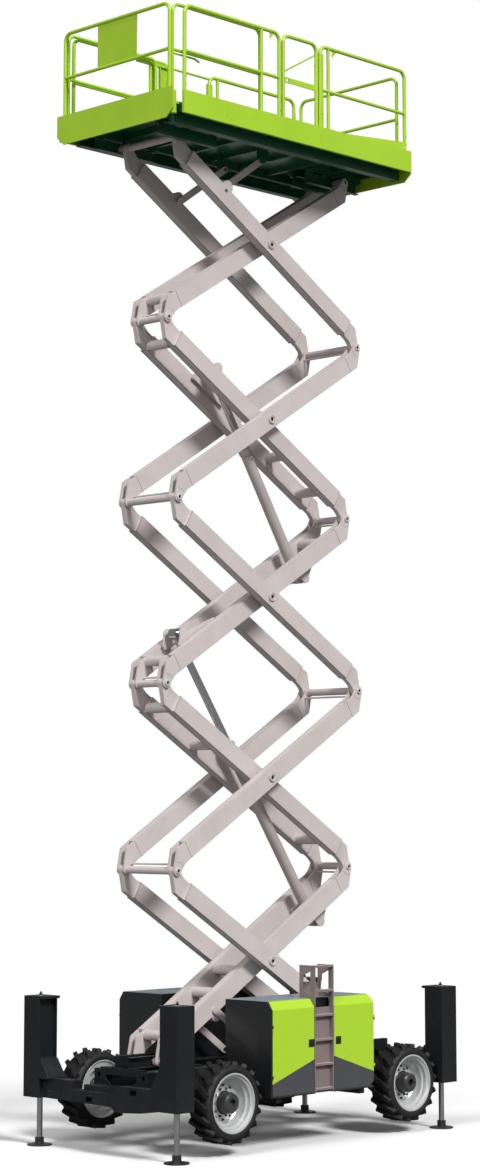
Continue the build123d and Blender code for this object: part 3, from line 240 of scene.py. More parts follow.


# %% [markdown]
# ## Painted metal
#
# Machine paint is one even colour with a clear gloss, so the interest comes from what
# happens to it.  The material mixes the paint with a slightly different tone in slow
# patches, lets the primer show at rubbed edges and lays dust over it.  The roughness follows
# the slow patches and the dust, because dust is duller than paint.

# %% Painted metal
DUST_TONE = linear("9A9287")
EDGE_RADIUS = 0.004                    # rubbed edges are this wide, in metres
DUST_HEIGHT = 0.9                      # dust thrown up from the ground reaches this high
DUST_DULLS = 0.4                       # how much rougher full dust makes a surface
COAT_ROUGHNESS = 0.12


def place_group(tree, group, **values):
    """Use a shared effect in a material with its own values."""
    node = put(tree, "ShaderNodeGroup", node_tree=group)
    feed(tree, node, values)
    return node


def clean_material(name):
    """Material with an empty graph, its Principled shader and its output."""
    material = bpy.data.materials.new(name)
    material.use_nodes = True
    tree = material.node_tree
    tree.nodes.clear()
    shader = put(tree, "ShaderNodeBsdfPrincipled")
    put(tree, "ShaderNodeOutputMaterial", {0: shader.outputs[0]})
    return material, tree, shader


def finish_surface(tree, shader, colour, rough, wear, primer, top, low, peel=60.0, depth=0.05):
    """Add rubbed edges, dust and the sprayed skin to a base colour."""
    edges = place_group(tree, EDGES, Radius=EDGE_RADIUS, Amount=wear)
    dust = place_group(tree, DUST, Top=top, Low=low, Height=DUST_HEIGHT)
    skin = place_group(tree, SKIN, Peel=peel, Depth=depth, Normal=edges.outputs["Normal"])
    worn = blend_colour(tree, edges.outputs["Mask"], colour, primer)
    dusty = blend_colour(tree, dust.outputs["Mask"], worn, DUST_TONE)
    even = remap(tree, skin.outputs["Patch"], 0.3, 0.7, rough - 0.05, rough + 0.06)
    dull = maths(tree, "MULTIPLY_ADD", dust.outputs["Mask"], DUST_DULLS, even, clamp=True)
    feed(tree, shader, {"Base Color": dusty, "Roughness": dull,
                        "Normal": skin.outputs["Normal"]})


def painted(name, code, tone, rough=0.38, wear=0.5, primer="8E8A86", top=0.12, low=0.2,
            coat=0.0, shine=0.5, **more):
    """Painted metal: a colour, its slow second tone and how worn and dusty it is."""
    material, tree, shader = clean_material(name)
    share = remap(tree, noise(tree, 2.3, 5.0, 0.6), 0.35, 0.65)
    colour = blend_colour(tree, share, linear(code), linear(tone))
    finish_surface(tree, shader, colour, rough, wear, linear(primer), top, low, **more)
    feed(tree, shader, {"Specular IOR Level": shine, "Coat Weight": coat,
                        "Coat Roughness": COAT_ROUGHNESS})
    return material


LIME = painted("lime_paint", "A9D12C", "A3CC29", rough=0.32, wear=0.18, primer="7C9A30",
               top=0.05, low=0.0, coat=0.25)
ARM = painted("arm_paint", "C9C0BE", "C2B8B6", rough=0.42, wear=0.25, primer="9A908D",
              top=0.08, low=0.12)
BLACK = painted("chassis_paint", "1A1D20", "15181B", rough=0.40, wear=0.30, primer="4A4E50",
              shine=0.3, top=0.16, low=0.06)
LADDER = painted("ladder_paint", "857876", "7A6D6B", rough=0.45, wear=0.5, primer="B4AAA8")
BARREL = painted("barrel_paint", "B4AAA8", "AAA09E", rough=0.40, wear=0.3)
IRON = painted("cast_iron", "3A3C3D", "2E3031", rough=0.6, wear=0.3, depth=0.25, peel=25.0)
print("paints ready")

# %% [markdown]
# ## Two-tone panels
#
# Some solids carry more than one colour.  A spray shop masks the panel along a line; here a
# mask does it, worked out from the panel's own coordinates, so the line stays on the panel
# when a door swings open.  The doors are lime with a dark band that slopes to both ends, the
# covers are black with a blue-grey lid, and the deck is dark green with a paler tread.  The
# deck's dark green is partly its paint and partly painted shade of its underside.

# %% Doors, covers and deck
# Each line is given by two points (x, z): lime above it, dark below it.
FRONT_DOOR_LINE = ((0.807, 0.727), (0.127, 0.959))
REAR_DOOR_LINE = ((-0.177, 0.964), (-0.849, 0.747))
LOOKS_UP = 0.9                         # least upward share of a normal that counts as top


def line_mask(tree, first, second):
    """1 below the line through two points given as (x, z), 0 above it."""
    slope = (second[1] - first[1]) / (second[0] - first[0])
    line = maths(tree, "MULTIPLY_ADD", coordinate(tree, "Object", "X"), slope,
                 first[1] - slope * first[0])
    return maths(tree, "LESS_THAN", coordinate(tree, "Object", "Z"), line)


def door_paint(name, line):
    """Lime door whose lower part is dark below a sloping line."""
    material, tree, shader = clean_material(name)
    colour = blend_colour(tree, line_mask(tree, *line), linear("A9D12C"), linear("44454A"))
    finish_surface(tree, shader, colour, 0.30, 0.2, linear("75806A"), 0.05, 0.12, peel=70.0)
    feed(tree, shader, {"Coat Weight": 0.3})
    return material


def topped_paint(name, side, top):
    """Paint with a second colour on the faces that look up; on the deck the colour of the other
    faces is partly painted shade.
    """
    material, tree, shader = clean_material(name)
    mask = maths(tree, "GREATER_THAN", coordinate(tree, "Normal", "Z"), LOOKS_UP)
    colour = blend_colour(tree, mask, linear(side), linear(top))
    finish_surface(tree, shader, colour, 0.36, 0.4, linear("6E7477"), 0.1, 0.15)
    feed(tree, shader, {"Coat Weight": 0.2})
    return material


DOOR_FRONT = door_paint("door_paint_front", FRONT_DOOR_LINE)
DOOR_REAR = door_paint("door_paint_rear", REAR_DOOR_LINE)
COVER = topped_paint("cover_paint", "17191B", "7E8E9B")
# The deck's dark green on faces that do not look up is partly its paint and partly painted shade
# of the underside.
DECK = topped_paint("deck_paint", "1B5334", "6E7A66")
print("two-tone panels ready")


# %% [markdown]
# ## Rubber, bright steel and rims
#
# Tyres are black but never pure black: the lugs are rubbed grey, and the side walls are
# ribbed round the axle.  The ribs are rings about the wheel's own centre, made by measuring
# the distance from it.  The same distance tells the dark hub of a rim from its bright disc.
# Hard chrome on the rods is almost a mirror, and zinc is duller.

# %% Tyres and rims
RIB_WAVE = 420.0                       # radians of the rib wave in a metre of radius
HUB_RADIUS = 0.127


def ring_distance(tree, centre):
    """Distance from a wheel's axle line, in metres."""
    place = put(tree, "ShaderNodeTexCoord")
    offset = put(tree, "ShaderNodeVectorMath", {0: place.outputs["Object"],
                                                1: (centre.x, 0.0, centre.z)},
                 operation="SUBTRACT")
    flat = put(tree, "ShaderNodeVectorMath", {0: offset.outputs[0], 1: (1.0, 0.0, 1.0)},
               operation="MULTIPLY")
    return put(tree, "ShaderNodeVectorMath", {0: flat.outputs[0]},
               operation="LENGTH").outputs["Value"]


def tyre_rubber(name, centre):
    """Black rubber with ribbed walls and lugs that are rubbed grey."""
    material, tree, shader = clean_material(name)
    radius = ring_distance(tree, centre)
    cloud = noise(tree, 18.0, 8.0, 0.7)
    share = maths(tree, "MULTIPLY", remap(tree, radius, 0.36, 0.44),
                  remap(tree, cloud, 0.4, 0.75, 0.0, 0.5), clamp=True)
    ribs = maths(tree, "SINE", maths(tree, "MULTIPLY", radius, RIB_WAVE))
    height = maths(tree, "MULTIPLY_ADD", ribs, 0.35, noise(tree, 160.0, 3.0))
    bump = put(tree, "ShaderNodeBump", {"Height": height, "Distance": 0.002, "Strength": 0.35})
    feed(tree, shader, {
        "Base Color": blend_colour(tree, share, linear("121213"), linear("2E2C2A")),
        "Normal": bump.outputs[0], "Roughness": remap(tree, cloud, 0.0, 1.0, 0.55, 0.8)})
    return material


def rim_paint(name, centre):
    """Bright sprayed rim round a dark hub."""
    material, tree, shader = clean_material(name)
    hub = maths(tree, "LESS_THAN", ring_distance(tree, centre), HUB_RADIUS)
    colour = blend_colour(tree, hub, linear("C9CACB"), linear("2C2E30"))
    finish_surface(tree, shader, colour, 0.3, 0.25, linear("8A8A8A"), 0.08, 0.2)
    feed(tree, shader, {"Metallic": maths(tree, "SUBTRACT", 0.35, hub, clamp=True)})
    return material


# %% Steels, legs and small finishes
PAD_HEIGHT = 0.092                     # top of the hub of an outrigger's pad


def bare_steel(name, code, rough, depth):
    """Bare steel with a fine grain and slow stains."""
    material, tree, shader = clean_material(name)
    cloud = noise(tree, 7.0, 6.0)
    stained = blend_colour(tree, cloud, linear(code), linear("8C8A88"))
    bump = put(tree, "ShaderNodeBump", {"Height": noise(tree, 300.0, 2.0), "Distance": 0.001,
                                        "Strength": depth})
    feed(tree, shader, {"Base Color": blend_colour(tree, 0.35, linear(code), stained),
                        "Normal": bump.outputs[0], "Metallic": 1.0,
                        "Roughness": remap(tree, cloud, 0.0, 1.0, rough - 0.04, rough + 0.1)})
    return material


def leg_finish():
    """Bright rod above the pad's hub, dark pad below."""
    material, tree, shader = clean_material("leg_finish")
    above = maths(tree, "GREATER_THAN", coordinate(tree, "Object", "Z"), PAD_HEIGHT)
    colour = blend_colour(tree, above, linear("232527"), linear("C9CACC"))
    finish_surface(tree, shader, colour, 0.25, 0.4, linear("77797B"), 0.0, 0.05)
    feed(tree, shader, {"Metallic": above})
    return material


CHROME = bare_steel("hard_chrome", "D8D8DA", 0.12, 0.03)
ZINC = bare_steel("zinc_steel", "B9BBBC", 0.32, 0.2)
LEG = leg_finish()
HUB = painted("hub_paint", "3A3D3E", "303334", rough=0.4, wear=0.4)
LATCH = painted("latch_plastic", "141516", "1A1B1C", rough=0.45, wear=0.2)
# Near-black painted shade: the insides of the pins' grease holes and the rims' hand holes are
# drawn in this colour.
HOLE_SHADE = painted("hole_painted_shade", "0C0C0C", "101010", rough=0.8, wear=0.0, top=0.0, low=0.0)
print("materials:", len(bpy.data.materials))


# %% [markdown]
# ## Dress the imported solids
#
# The solids keep their shape, so dressing them only means giving each its finish.  A short
# table maps the start of a node's name to a material, and a node that no entry fits stops
# the script.  Tyres and rims get a material each, because it is centred on their own wheel.

# %% Give each solid its finish
FINISHES = (
    ("arm_", ARM), ("centring_", ARM), ("lower_cylinder_barrel", BARREL),
    ("upper_cylinder_barrel", BARREL), ("lower_cylinder_rod", CHROME),
    ("upper_cylinder_rod", CHROME), ("chassis_frame", BLACK), ("front_outrigger", BLACK),
    ("rear_outrigger", BLACK), ("front_axle", BLACK), ("rear_axle", BLACK),
    ("knuckle_", HUB), ("cover_", COVER), ("door_front", DOOR_FRONT),
    ("door_rear", DOOR_REAR), ("engine_block", IRON), ("ladder", LADDER),
    ("platform_deck", DECK), ("toe_boards", LIME), ("guard_rails", LIME), ("gate", LIME),
    ("extension_", LIME), ("leg_", LEG),
)


def finish_of(name):
    """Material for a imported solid."""
    low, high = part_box(name)
    if name.startswith("tyre_"):
        return tyre_rubber("rubber_" + name, (low + high) / 2)
    if name.startswith("rim_"):
        return rim_paint("paint_" + name, (low + high) / 2)
    return next(material for start, material in FINISHES if name.startswith(start))


for name, piece in nodes.items():
    piece.data.materials.clear()
    piece.data.materials.append(finish_of(name))
print("dressed", len(nodes), "solids")


# %% [markdown]
# ## A small workshop for hard parts
#
# Bolts, caps, beads and brackets are many but alike.  One collector keeps their corners and
# faces, so a whole family of parts on one body becomes one object.  It can turn a profile on
# a lathe, press a bolt head, draw a round bar along a line, cut plate to an outline and set a
# plain block.  Where it is asked for, the edges get a small bevel afterwards, because a real
# edge always catches a little light.

# %% The collector
SMOOTH_BELOW, BEVEL_ABOVE = math.radians(35), math.radians(50)
STEADY = Vector((0.31, 0.77, 0.55))    # no bar is drawn along this direction


class Workshop:
    """Collects the faces of hard parts, then makes them one object on a body."""

    def __init__(self):
        self.points, self.faces = [], []

    def add(self, points, faces):
        """Take in corners, and faces that count from the first of them."""
        start = len(self.points)
        self.points += [Vector(p) for p in points]
        self.faces += [[start + i for i in face] for face in faces]

    def turn(self, at, axis, profile, steps=24):
        """Lathe: profile lists (distance along the axis, radius), closed at both ends."""
        spin = Vector(axis).normalized().to_track_quat("Z", "Y")
        points, faces = [], []
        for far, radius in profile:
            for i in range(steps):
                angle = 2 * math.pi * i / steps
                local = Vector((radius * math.cos(angle), radius * math.sin(angle), far))
                points.append(Vector(at) + spin @ local)
        for row in range(len(profile) - 1):
            for i in range(steps):
                j = (i + 1) % steps
                a, b = row * steps, (row + 1) * steps
                faces.append((a + i, a + j, b + j, b + i))
        faces.append(tuple(reversed(range(steps))))
        faces.append(tuple((len(profile) - 1) * steps + i for i in range(steps)))
        self.add(points, faces)

    def hexagon(self, at, axis, across, height):
        """Bolt head on its washer."""
        self.turn(at, axis, ((0, across * 0.72), (height * 0.22, across * 0.72)), 20)
        self.turn(at, axis, ((height * 0.2, across * 0.56), (height * 0.92, across * 0.56),
                             (height, across * 0.46)), 6)

    def tube(self, line, radius, sides=8, closed=False):
        """Round bar drawn along a list of points."""
        line = [Vector(p) for p in line]
        count = len(line)
        points, faces = [], []
        for i, p in enumerate(line):
            before = line[(i - 1) % count] if closed or i else p
            after = line[(i + 1) % count] if closed or i < count - 1 else p
            way = (after - before).normalized()
            side = way.cross(STEADY).normalized()
            other = way.cross(side)
            for k in range(sides):
                angle = 2 * math.pi * k / sides
                points.append(p + radius * (side * math.cos(angle) + other * math.sin(angle)))
        for i in range(count if closed else count - 1):
            a, b = i * sides, ((i + 1) % count) * sides
            for k in range(sides):
                j = (k + 1) % sides
                faces.append((a + k, a + j, b + j, b + k))
        if not closed:
            faces.append(tuple(reversed(range(sides))))
            faces.append(tuple((count - 1) * sides + k for k in range(sides)))
        self.add(points, faces)

    def plate(self, outline, way):
        """Plate cut to an outline and as thick as the vector way."""
        count = len(outline)
        near = [Vector(p) for p in outline]
        far = [p + Vector(way) for p in near]
        faces = [tuple(range(count)), tuple(reversed(range(count, 2 * count)))]
        for i in range(count):
            j = (i + 1) % count
            faces.append((i, count + i, count + j, j))
        self.add(near + far, faces)

    def brick(self, low, high):
        """Plain block between two corners; used only as one part of a larger piece."""
        (x0, y0, z0), (x1, y1, z1) = low, high
        self.plate(((x0, y0, z0), (x1, y0, z0), (x1, y1, z0), (x0, y1, z0)), (0, 0, z1 - z0))

    def finish(self, name, body, material, bevel=0.0):
        """Make the object, point its faces outward, bevel it and let it ride."""
        mesh = bpy.data.meshes.new(name)
        mesh.from_pydata([tuple(p) for p in self.points], [], self.faces)
        work = bmesh.new()
        work.from_mesh(mesh)
        bmesh.ops.recalc_face_normals(work, faces=work.faces)
        work.to_mesh(mesh)
        work.free()
        mesh.materials.append(material)
        piece = bpy.data.objects.new(name, mesh)
        bpy.context.scene.collection.objects.link(piece)
        for face in mesh.polygons:
            face.use_smooth = True
        mesh.set_sharp_from_angle(angle=SMOOTH_BELOW)
        if bevel:
            edge = piece.modifiers.new("edge", "BEVEL")
            edge.width = bevel
            edge.segments = 1
            edge.limit_method = "ANGLE"
            edge.angle_limit = BEVEL_ABOVE
        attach(piece, body)
        self.points, self.faces = [], []


shop = Workshop()
print("workshop ready")


# %% [markdown]
# ## Where the arms are
#
# Every arm is drawn in its own axes: *along* it and *off* its centre line.  The record gives
# the joints of the stack.  Three of them are enough to find those axes again: the middle pin
# of the first pair, a pin at the end of it, and the middle pin of the second pair.  The end
# pins lie a little off the centre line because of the dog-leg plates.

# %% Arm axes
PIN_OFF = 0.112        # how far an arm's end pins lie off its own centre line
HALF_DEPTH, HALF_WIDTH = 0.100, 0.060
OUTER_Y, INNER_Y = 0.405, 0.225
SEAM_BACK = 0.255      # the end plates are let in this far from the end pins
centre_1 = joint_at["fold_outer_1"]
half_base = abs(joint_at["fold_outer_2"].x - centre_1.x)
pitch = joint_at["fold_inner_2"].z - centre_1.z
half_span = math.hypot(half_base, pitch / 2)
arm_run = math.sqrt(half_span ** 2 - PIN_OFF ** 2)
arm_tilt = math.atan2(pitch / 2, half_base) - math.asin(PIN_OFF / half_span)
print("arm span", round(2 * half_span, 3), "m, pitch", round(pitch, 3), "m")


class Arm:
    """One pair of arms in its own axes: rise is +1 when it climbs to the front."""

    def __init__(self, node):
        kind, level = node.split("_")[1:]
        self.node, self.level = node, int(level)
        self.outer = kind == "outer"
        self.rise = (1 if self.level % 2 else -1) * (1 if self.outer else -1)
        self.fork = self.outer != bool(self.level % 2)
        self.y = OUTER_Y if self.outer else INNER_Y
        self.centre = centre_1 + Vector((0, 0, pitch * (self.level - 1)))

    def at(self, along, off, y):
        """Point in the machine's frame."""
        c, s = math.cos(arm_tilt), math.sin(arm_tilt)
        return Vector((self.centre.x + self.rise * (along * c - off * s), y,
                       self.centre.z + along * s + off * c))


ARMS = [Arm(name) for name in nodes if name.startswith("arm_")]
for arm in ARMS:
    low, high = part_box(arm.node)
    tip = arm.at(arm_run, PIN_OFF, arm.y)
    assert low.x - 0.01 < tip.x < high.x + 0.01 and tip.z < high.z, arm.node
print("arms located:", len(ARMS))


# %% [markdown]
# ## Welds and pins of the arms
#
# An arm is a box section.  Where its end plates are let in, a bead of weld runs round the
# box, and four more run along its edges.  A fork also has a curved bead round each of its
# pins.  Each pin ends in a turned head with a recessed grease hole, and the middle pins stand
# in a raised collar.  The inside of each grease hole is a near-black cup, which is painted
# shade.  The beads are thin tubes half sunk in the metal.

# %% Weld beads
SEAM = painted("seam_paint", "8F8684", "857C7A", rough=0.5, wear=0.1)
THICK_BEAD, THIN_BEAD = 0.0032, 0.0022
EDGE_INSET = 0.012                     # the long beads lie this far in from the sides
ARC_RADIUS = 0.098
ARC_ANGLES = range(150, 263, 14)       # degrees round the pin


def on_face(node, spot, side):
    """Whether a point lies on the outer face of a solid, within a millimetre."""
    hit, there, _, _ = nodes[node].ray_cast(spot + Vector((0, side * 0.05, 0)),
                                            Vector((0, -side, 0)))
    return hit and abs(there.y - spot.y) < 0.001


def add_pin_arcs(arm, side):
    """Curved bead round each pin of a fork, as far as its plate reaches."""
    face = side * (arm.y + HALF_WIDTH)
    for end in (1, -1):
        line = []
        for angle in ARC_ANGLES:
            along = ARC_RADIUS * math.cos(math.radians(angle))
            off = ARC_RADIUS * math.sin(math.radians(angle))
            line.append(arm.at(end * (arm_run + along), end * (PIN_OFF + off), face))
        line = [spot for spot in line if on_face(arm.node, spot, side)]
        if len(line) > 1:
            shop.tube(line, THIN_BEAD, 6)


def add_beads(arm):
    """Beads round both ends of each arm of the pair, along its edges and round its pins."""
    reach = arm_run - SEAM_BACK
    for side in (1, -1):
        inner, outer = side * (arm.y - HALF_WIDTH), side * (arm.y + HALF_WIDTH)
        for seam in (reach, -reach):
            ring = [arm.at(seam, off, y) for off, y in (
                (HALF_DEPTH, inner), (HALF_DEPTH, outer), (-HALF_DEPTH, outer),
                (-HALF_DEPTH, inner))]
            shop.tube(ring, THICK_BEAD, 6, closed=True)
        for off in (HALF_DEPTH, -HALF_DEPTH):
            for y in (outer - side * EDGE_INSET, inner + side * EDGE_INSET):
                shop.tube([arm.at(-reach, off, y), arm.at(reach, off, y)], THIN_BEAD, 6)
        if arm.fork:
            add_pin_arcs(arm, side)
    shop.finish("weld_" + arm.node, arm.node, SEAM)


for arm in ARMS:
    add_beads(arm)
print("weld beads on", len(ARMS), "pairs")


# %% Pin heads
# Collects the near-black cups and plates that are painted shade inside holes.
holes = Workshop()
# Profiles list (distance along the axis, radius), in metres.
COLLAR = ((-0.004, 0.052), (0.006, 0.052), (0.009, 0.049), (0.009, 0.042), (0.0005, 0.040))
END_HOLE, MIDDLE_HOLE = 0.017, 0.022   # radii of the grease holes
END_PROUD, MIDDLE_PROUD = 0.008, 0.010   # how far the heads stand off the arm's side


def add_pin_head(at, side, hole):
    """Turned head with a chamfer and a recessed grease hole; the near-black cup in the hole is
    painted shade.
    """
    axis = (0, side, 0)
    shop.turn(at, axis, ((0.0, 0.036), (0.004, 0.036), (0.0065, 0.0335), (0.0065, hole + 0.002),
                         (0.001, hole)), 32)
    # Near-black cup in the recess: painted shade of the grease hole.
    holes.turn(at, axis, ((0.0, hole), (0.0022, hole), (0.0022, 0.004)), 20)


for arm in ARMS:
    for side in (1, -1):
        if arm.fork:
            face = side * (arm.y + HALF_WIDTH + END_PROUD)
            for end in (1, -1):
                add_pin_head(arm.at(end * arm_run, end * PIN_OFF, face), side, END_HOLE)
        if not arm.outer:
            face = side * (OUTER_Y + HALF_WIDTH + MIDDLE_PROUD)
            middle = Vector((arm.centre.x, face, arm.centre.z))
            shop.turn(middle, (0, side, 0), COLLAR, 32)
            add_pin_head(middle, side, MIDDLE_HOLE)
    if shop.points:
        shop.finish("pins_" + arm.node, arm.node, ARM, bevel=0.0008)
        holes.finish("pin_hole_shade_" + arm.node, arm.node, HOLE_SHADE)
print("pin heads made")


# %% [markdown]
# ## Lift cylinders
#
# A cylinder shows its gland nut where the rod comes out, the weld at its foot and two oil
# ports.  The ports stand beside the barrel, not above it, so they stay clear of the tubes
# between the arms.

# %% Cylinder fittings
GLAND_NUT = ((0, 0.0765), (0.004, 0.0785), (0.016, 0.0785), (0.018, 0.0765))
FOOT_WELD = ((0, 0.0655), (0.007, 0.0695), (0.014, 0.0655))
PORT_BOSS = ((0, 0.017), (0.014, 0.017), (0.016, 0.015))
PORT_PLUG = ((0, 0.012), (0.012, 0.012))
GLAND_BACK, FOOT_WELD_AT = 0.012, 0.075
PORT_SIDE = 0.060                      # the ports start this far beside the axis
PORT_FROM_FOOT, PORT_FROM_GLAND = 0.16, 0.14

by_node = {arm.node: arm for arm in ARMS}
# Name, foot pin, eye of the rod and length of the barrel.  The pins are in an arm's axes.
CYLINDERS = (
    ("lower_cylinder", by_node["arm_inner_1"].at(0.668 * arm_run, -0.266, 0.0),
     by_node["arm_inner_3"].at(-0.647 * arm_run, 0.172, 0.0), 2.48),
    ("upper_cylinder", by_node["arm_inner_3"].at(0.525 * arm_run, -0.228, 0.0),
     by_node["arm_inner_4"].at(0.420 * arm_run, 0.215, 0.0), 1.75),
)
for label, foot, eye, barrel in CYLINDERS:
    way = (eye - foot).normalized()
    side = Vector((0, 1, 0))
    shop.turn(foot + way * (barrel - GLAND_BACK), way, GLAND_NUT, 36)
    shop.turn(foot + way * FOOT_WELD_AT, way, FOOT_WELD, 36)
    for far in (PORT_FROM_FOOT, barrel - PORT_FROM_GLAND):
        port = foot + way * far + side * PORT_SIDE
        shop.turn(port, side, PORT_BOSS, 20)
        shop.turn(port + side * 0.012, side, PORT_PLUG, 6)
    shop.finish("fittings_" + label, label + "_barrel", BARREL, bevel=0.0006)
    print(label, "dressed, barrel", barrel, "m")


# %% [markdown]
# ## Finding the surface
#
# Bolts sit on a surface, so their place is measured, not guessed: a straight line is shot at
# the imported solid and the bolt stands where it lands, facing out of that surface.

# %% Bolts and caps of the outriggers
FAR_OFF = 3.0                          # lines start outside the machine, this far away
BEAM_BOLTS_Y, BEAM_BOLTS_Z = (-0.86, -0.62, -0.2), 0.60
POST_X, POST_Y = 2.148, 1.091
UP = Vector((0, 0, 1))


def land(node, start, way):
    """First point and outward direction where a line meets a solid."""
    hit, spot, normal, _ = nodes[node].ray_cast(Vector(start), Vector(way).normalized())
    assert hit, (node, tuple(start))
    return spot, normal


for y in BEAM_BOLTS_Y:
    spot, normal = land("front_outrigger_beam", (FAR_OFF, y, BEAM_BOLTS_Z), (-1, 0, 0))
    shop.hexagon(spot, normal, 0.019, 0.011)
shop.finish("bolts_chassis", "chassis", BLACK, bevel=0.0008)
print("bolts on the base:", len(BEAM_BOLTS_Y))

post_tops = []
for x, beam in ((-POST_X, "rear_outrigger_beam"), (POST_X, "front_outrigger_beam")):
    for y in (-POST_Y, POST_Y):
        post_tops.append(land(beam, (x, y, FAR_OFF), -UP)[0])
for top in post_tops:
    shop.turn(top, UP, ((0, 0.046), (0.005, 0.046), (0.007, 0.043)), 32)
shop.finish("caps_outrigger", "chassis", ZINC, bevel=0.0006)
for top in post_tops:
    shop.hexagon(top + 0.006 * UP, UP, 0.036, 0.020)
    shop.turn(top + 0.02 * UP, UP, ((0, 0.010), (0.022, 0.010), (0.024, 0.008)), 16)
shop.finish("cap_bolts_outrigger", "chassis", BLACK, bevel=0.0008)
print("caps on", len(post_tops), "outriggers")


# %% Wheel nuts and hand holes
WHEELS = (("front_left", 1), ("front_right", -1), ("rear_left", 1), ("rear_right", -1))
DISC_Y = 1.012                         # outer face of the rim's disc
WHEEL_NUTS = 10
NUT_CIRCLE, HOLE_CIRCLE = 0.148, 0.182
HOLE_HALF_ANGLE, HOLE_HALF_WIDTH, HOLE_POINTS = 0.115, 0.013, 20


def dress_wheel(where, side):
    """Nuts on the rim's disc, and between them near-black plates that are the painted shade of
    hand holes.
    """
    low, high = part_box("rim_" + where)
    centre = (low + high) / 2
    out = Vector((0, side, 0))

    def on_disc(angle, radius, proud):
        """Point at an angle and radius round the axle, standing off the disc."""
        return Vector((centre.x + radius * math.cos(angle), side * (DISC_Y + proud),
                       centre.z + radius * math.sin(angle)))

    for k in range(WHEEL_NUTS):
        angle = 2 * math.pi * k / WHEEL_NUTS
        shop.turn(on_disc(angle, NUT_CIRCLE, -0.003), out, ((0, 0.0150), (0.008, 0.0150)), 20)
        shop.turn(on_disc(angle, NUT_CIRCLE, 0.004), out,
                  ((0, 0.0125), (0.017, 0.0125), (0.019, 0.0105)), 6)
    shop.finish("nuts_" + where, "wheel_" + where, HUB, bevel=0.0008)
    # The hand holes are not cut: near-black plates on the disc are painted shade where they
    # would be.
    for k in range(WHEEL_NUTS):
        middle = 2 * math.pi * (k + 0.5) / WHEEL_NUTS
        outline = []
        for step in range(HOLE_POINTS):
            turn = 2 * math.pi * step / HOLE_POINTS
            outline.append(on_disc(middle + HOLE_HALF_ANGLE * math.cos(turn),
                                   HOLE_CIRCLE + HOLE_HALF_WIDTH * math.sin(turn), -0.001))
        holes.plate(outline, 0.002 * out)
    holes.finish("hand_hole_shade_" + where, "wheel_" + where, HOLE_SHADE)


for where, side in WHEELS:
    dress_wheel(where, side)
print("wheels dressed")


# %% [markdown]
# ## Doors, ladder and rails
#
# Each door has a flat black latch with a paddle and a lock.  The steps of the ladder end in
# a pale toothed nosing that gives a boot its grip.  The rails of the platform are bolted
# through their posts, two small gussets stiffen the top rail beside the gate, and the gate
# closes on a hook.

# %% Door latches
# Latch positions are (x, z) on a door; outlines are (x, z) from there.
LATCHES = (("door_front_left", 0.200, 1.127), ("door_rear_left", -0.239, 1.133),
           ("door_front_right", 0.140, 1.127), ("door_rear_right", -0.048, 1.133))
FRAME = ((-0.045, -0.036), (-0.038, -0.043), (0.038, -0.043), (0.045, -0.036),
         (0.045, 0.036), (0.038, 0.043), (-0.038, 0.043), (-0.045, 0.036))
PADDLE = ((-0.034, -0.030), (0.034, -0.030), (0.034, 0.012), (-0.034, 0.012))
LOCK_UP = 0.026


def door_latch(door, x, z):
    """Black latch: frame, paddle and key lock."""
    side = 1 if door.endswith("left") else -1
    y = land(door, (x, side * FAR_OFF, z), (0, -side, 0))[0].y
    for outline, thick in ((FRAME, 0.003), (PADDLE, 0.006)):
        shop.plate([(x + dx, y, z + dz) for dx, dz in outline], (0, side * thick, 0))
    shop.turn((x, y, z + LOCK_UP), (0, side, 0), ((0, 0.010), (0.006, 0.010), (0.007, 0.008)),
              20)
    shop.finish("latch_" + door, door, LATCH, bevel=0.0012)


for door, x, z in LATCHES:
    door_latch(door, x, z)
print("latches on", len(LATCHES), "doors")


# %% Step nosings
NOSING = painted("nosing_paint", "C9BFBF", "B9AFAF", rough=0.5, wear=0.3)
STEPS, STEP_PITCH, TEETH = 6, 0.267, 14
TOOTH = 0.008                          # width of a tooth
STRIP_IN, TEETH_IN = 0.016, 0.022      # distance from the ladder's sides
low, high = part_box("ladder")
teeth_run = high.x - low.x - 2 * TEETH_IN - TOOTH
for i in range(STEPS):
    z = high.z - STEP_PITCH * i
    shop.brick((low.x + STRIP_IN, high.y - 0.0135, z - 0.0005),
               (high.x - STRIP_IN, high.y - 0.0005, z + 0.0015))
    for k in range(TEETH):
        x = low.x + TEETH_IN + teeth_run * k / (TEETH - 1)
        shop.brick((x, high.y - 0.034, z - 0.001), (x + TOOTH, high.y - 0.014, z + 0.0035))
shop.finish("nosings_ladder", "chassis", NOSING)
print("nosings on", STEPS, "steps")


# %% Rails and boards
RAIL_POSTS_X, RAIL_BOLTS_Z = (-1.822, -0.310, 0.389, 1.917), (11.70, 11.80)
RAIL_LEAST_Y = 0.85                    # a line that lands nearer the middle missed its post
GUSSETS_X, GUSSET_Y, GUSSET_LENGTH = (0.543, -0.520), 0.921, 0.075
GUSSET_TOP, GUSSET_FOOT = 12.597, 12.518
DECK_TOP, TOP_RAIL = 11.468, 12.565
# Bracket under the far rail: its head, a flat post, and a channel of three plates.
FAR_BRACKET = (
    ((0.39, -0.946, 12.560), (0.91, -0.904, 12.596)),
    ((0.62, -0.938, DECK_TOP), (0.66, -0.912, TOP_RAIL)),
    ((0.39, -0.940, DECK_TOP), (0.54, -0.930, TOP_RAIL)),
    ((0.39, -0.932, DECK_TOP), (0.40, -0.904, TOP_RAIL)),
    ((0.53, -0.932, DECK_TOP), (0.54, -0.904, TOP_RAIL)),
)
HOOK_AT, HOOK_RADIUS = Vector((0.43, 0.925, 12.05)), 0.028
BOARD_Y, BOARD_SEAMS_X, BOARD_Z = 0.9865, (-0.262, 0.341, 1.30), (11.44, 11.612)

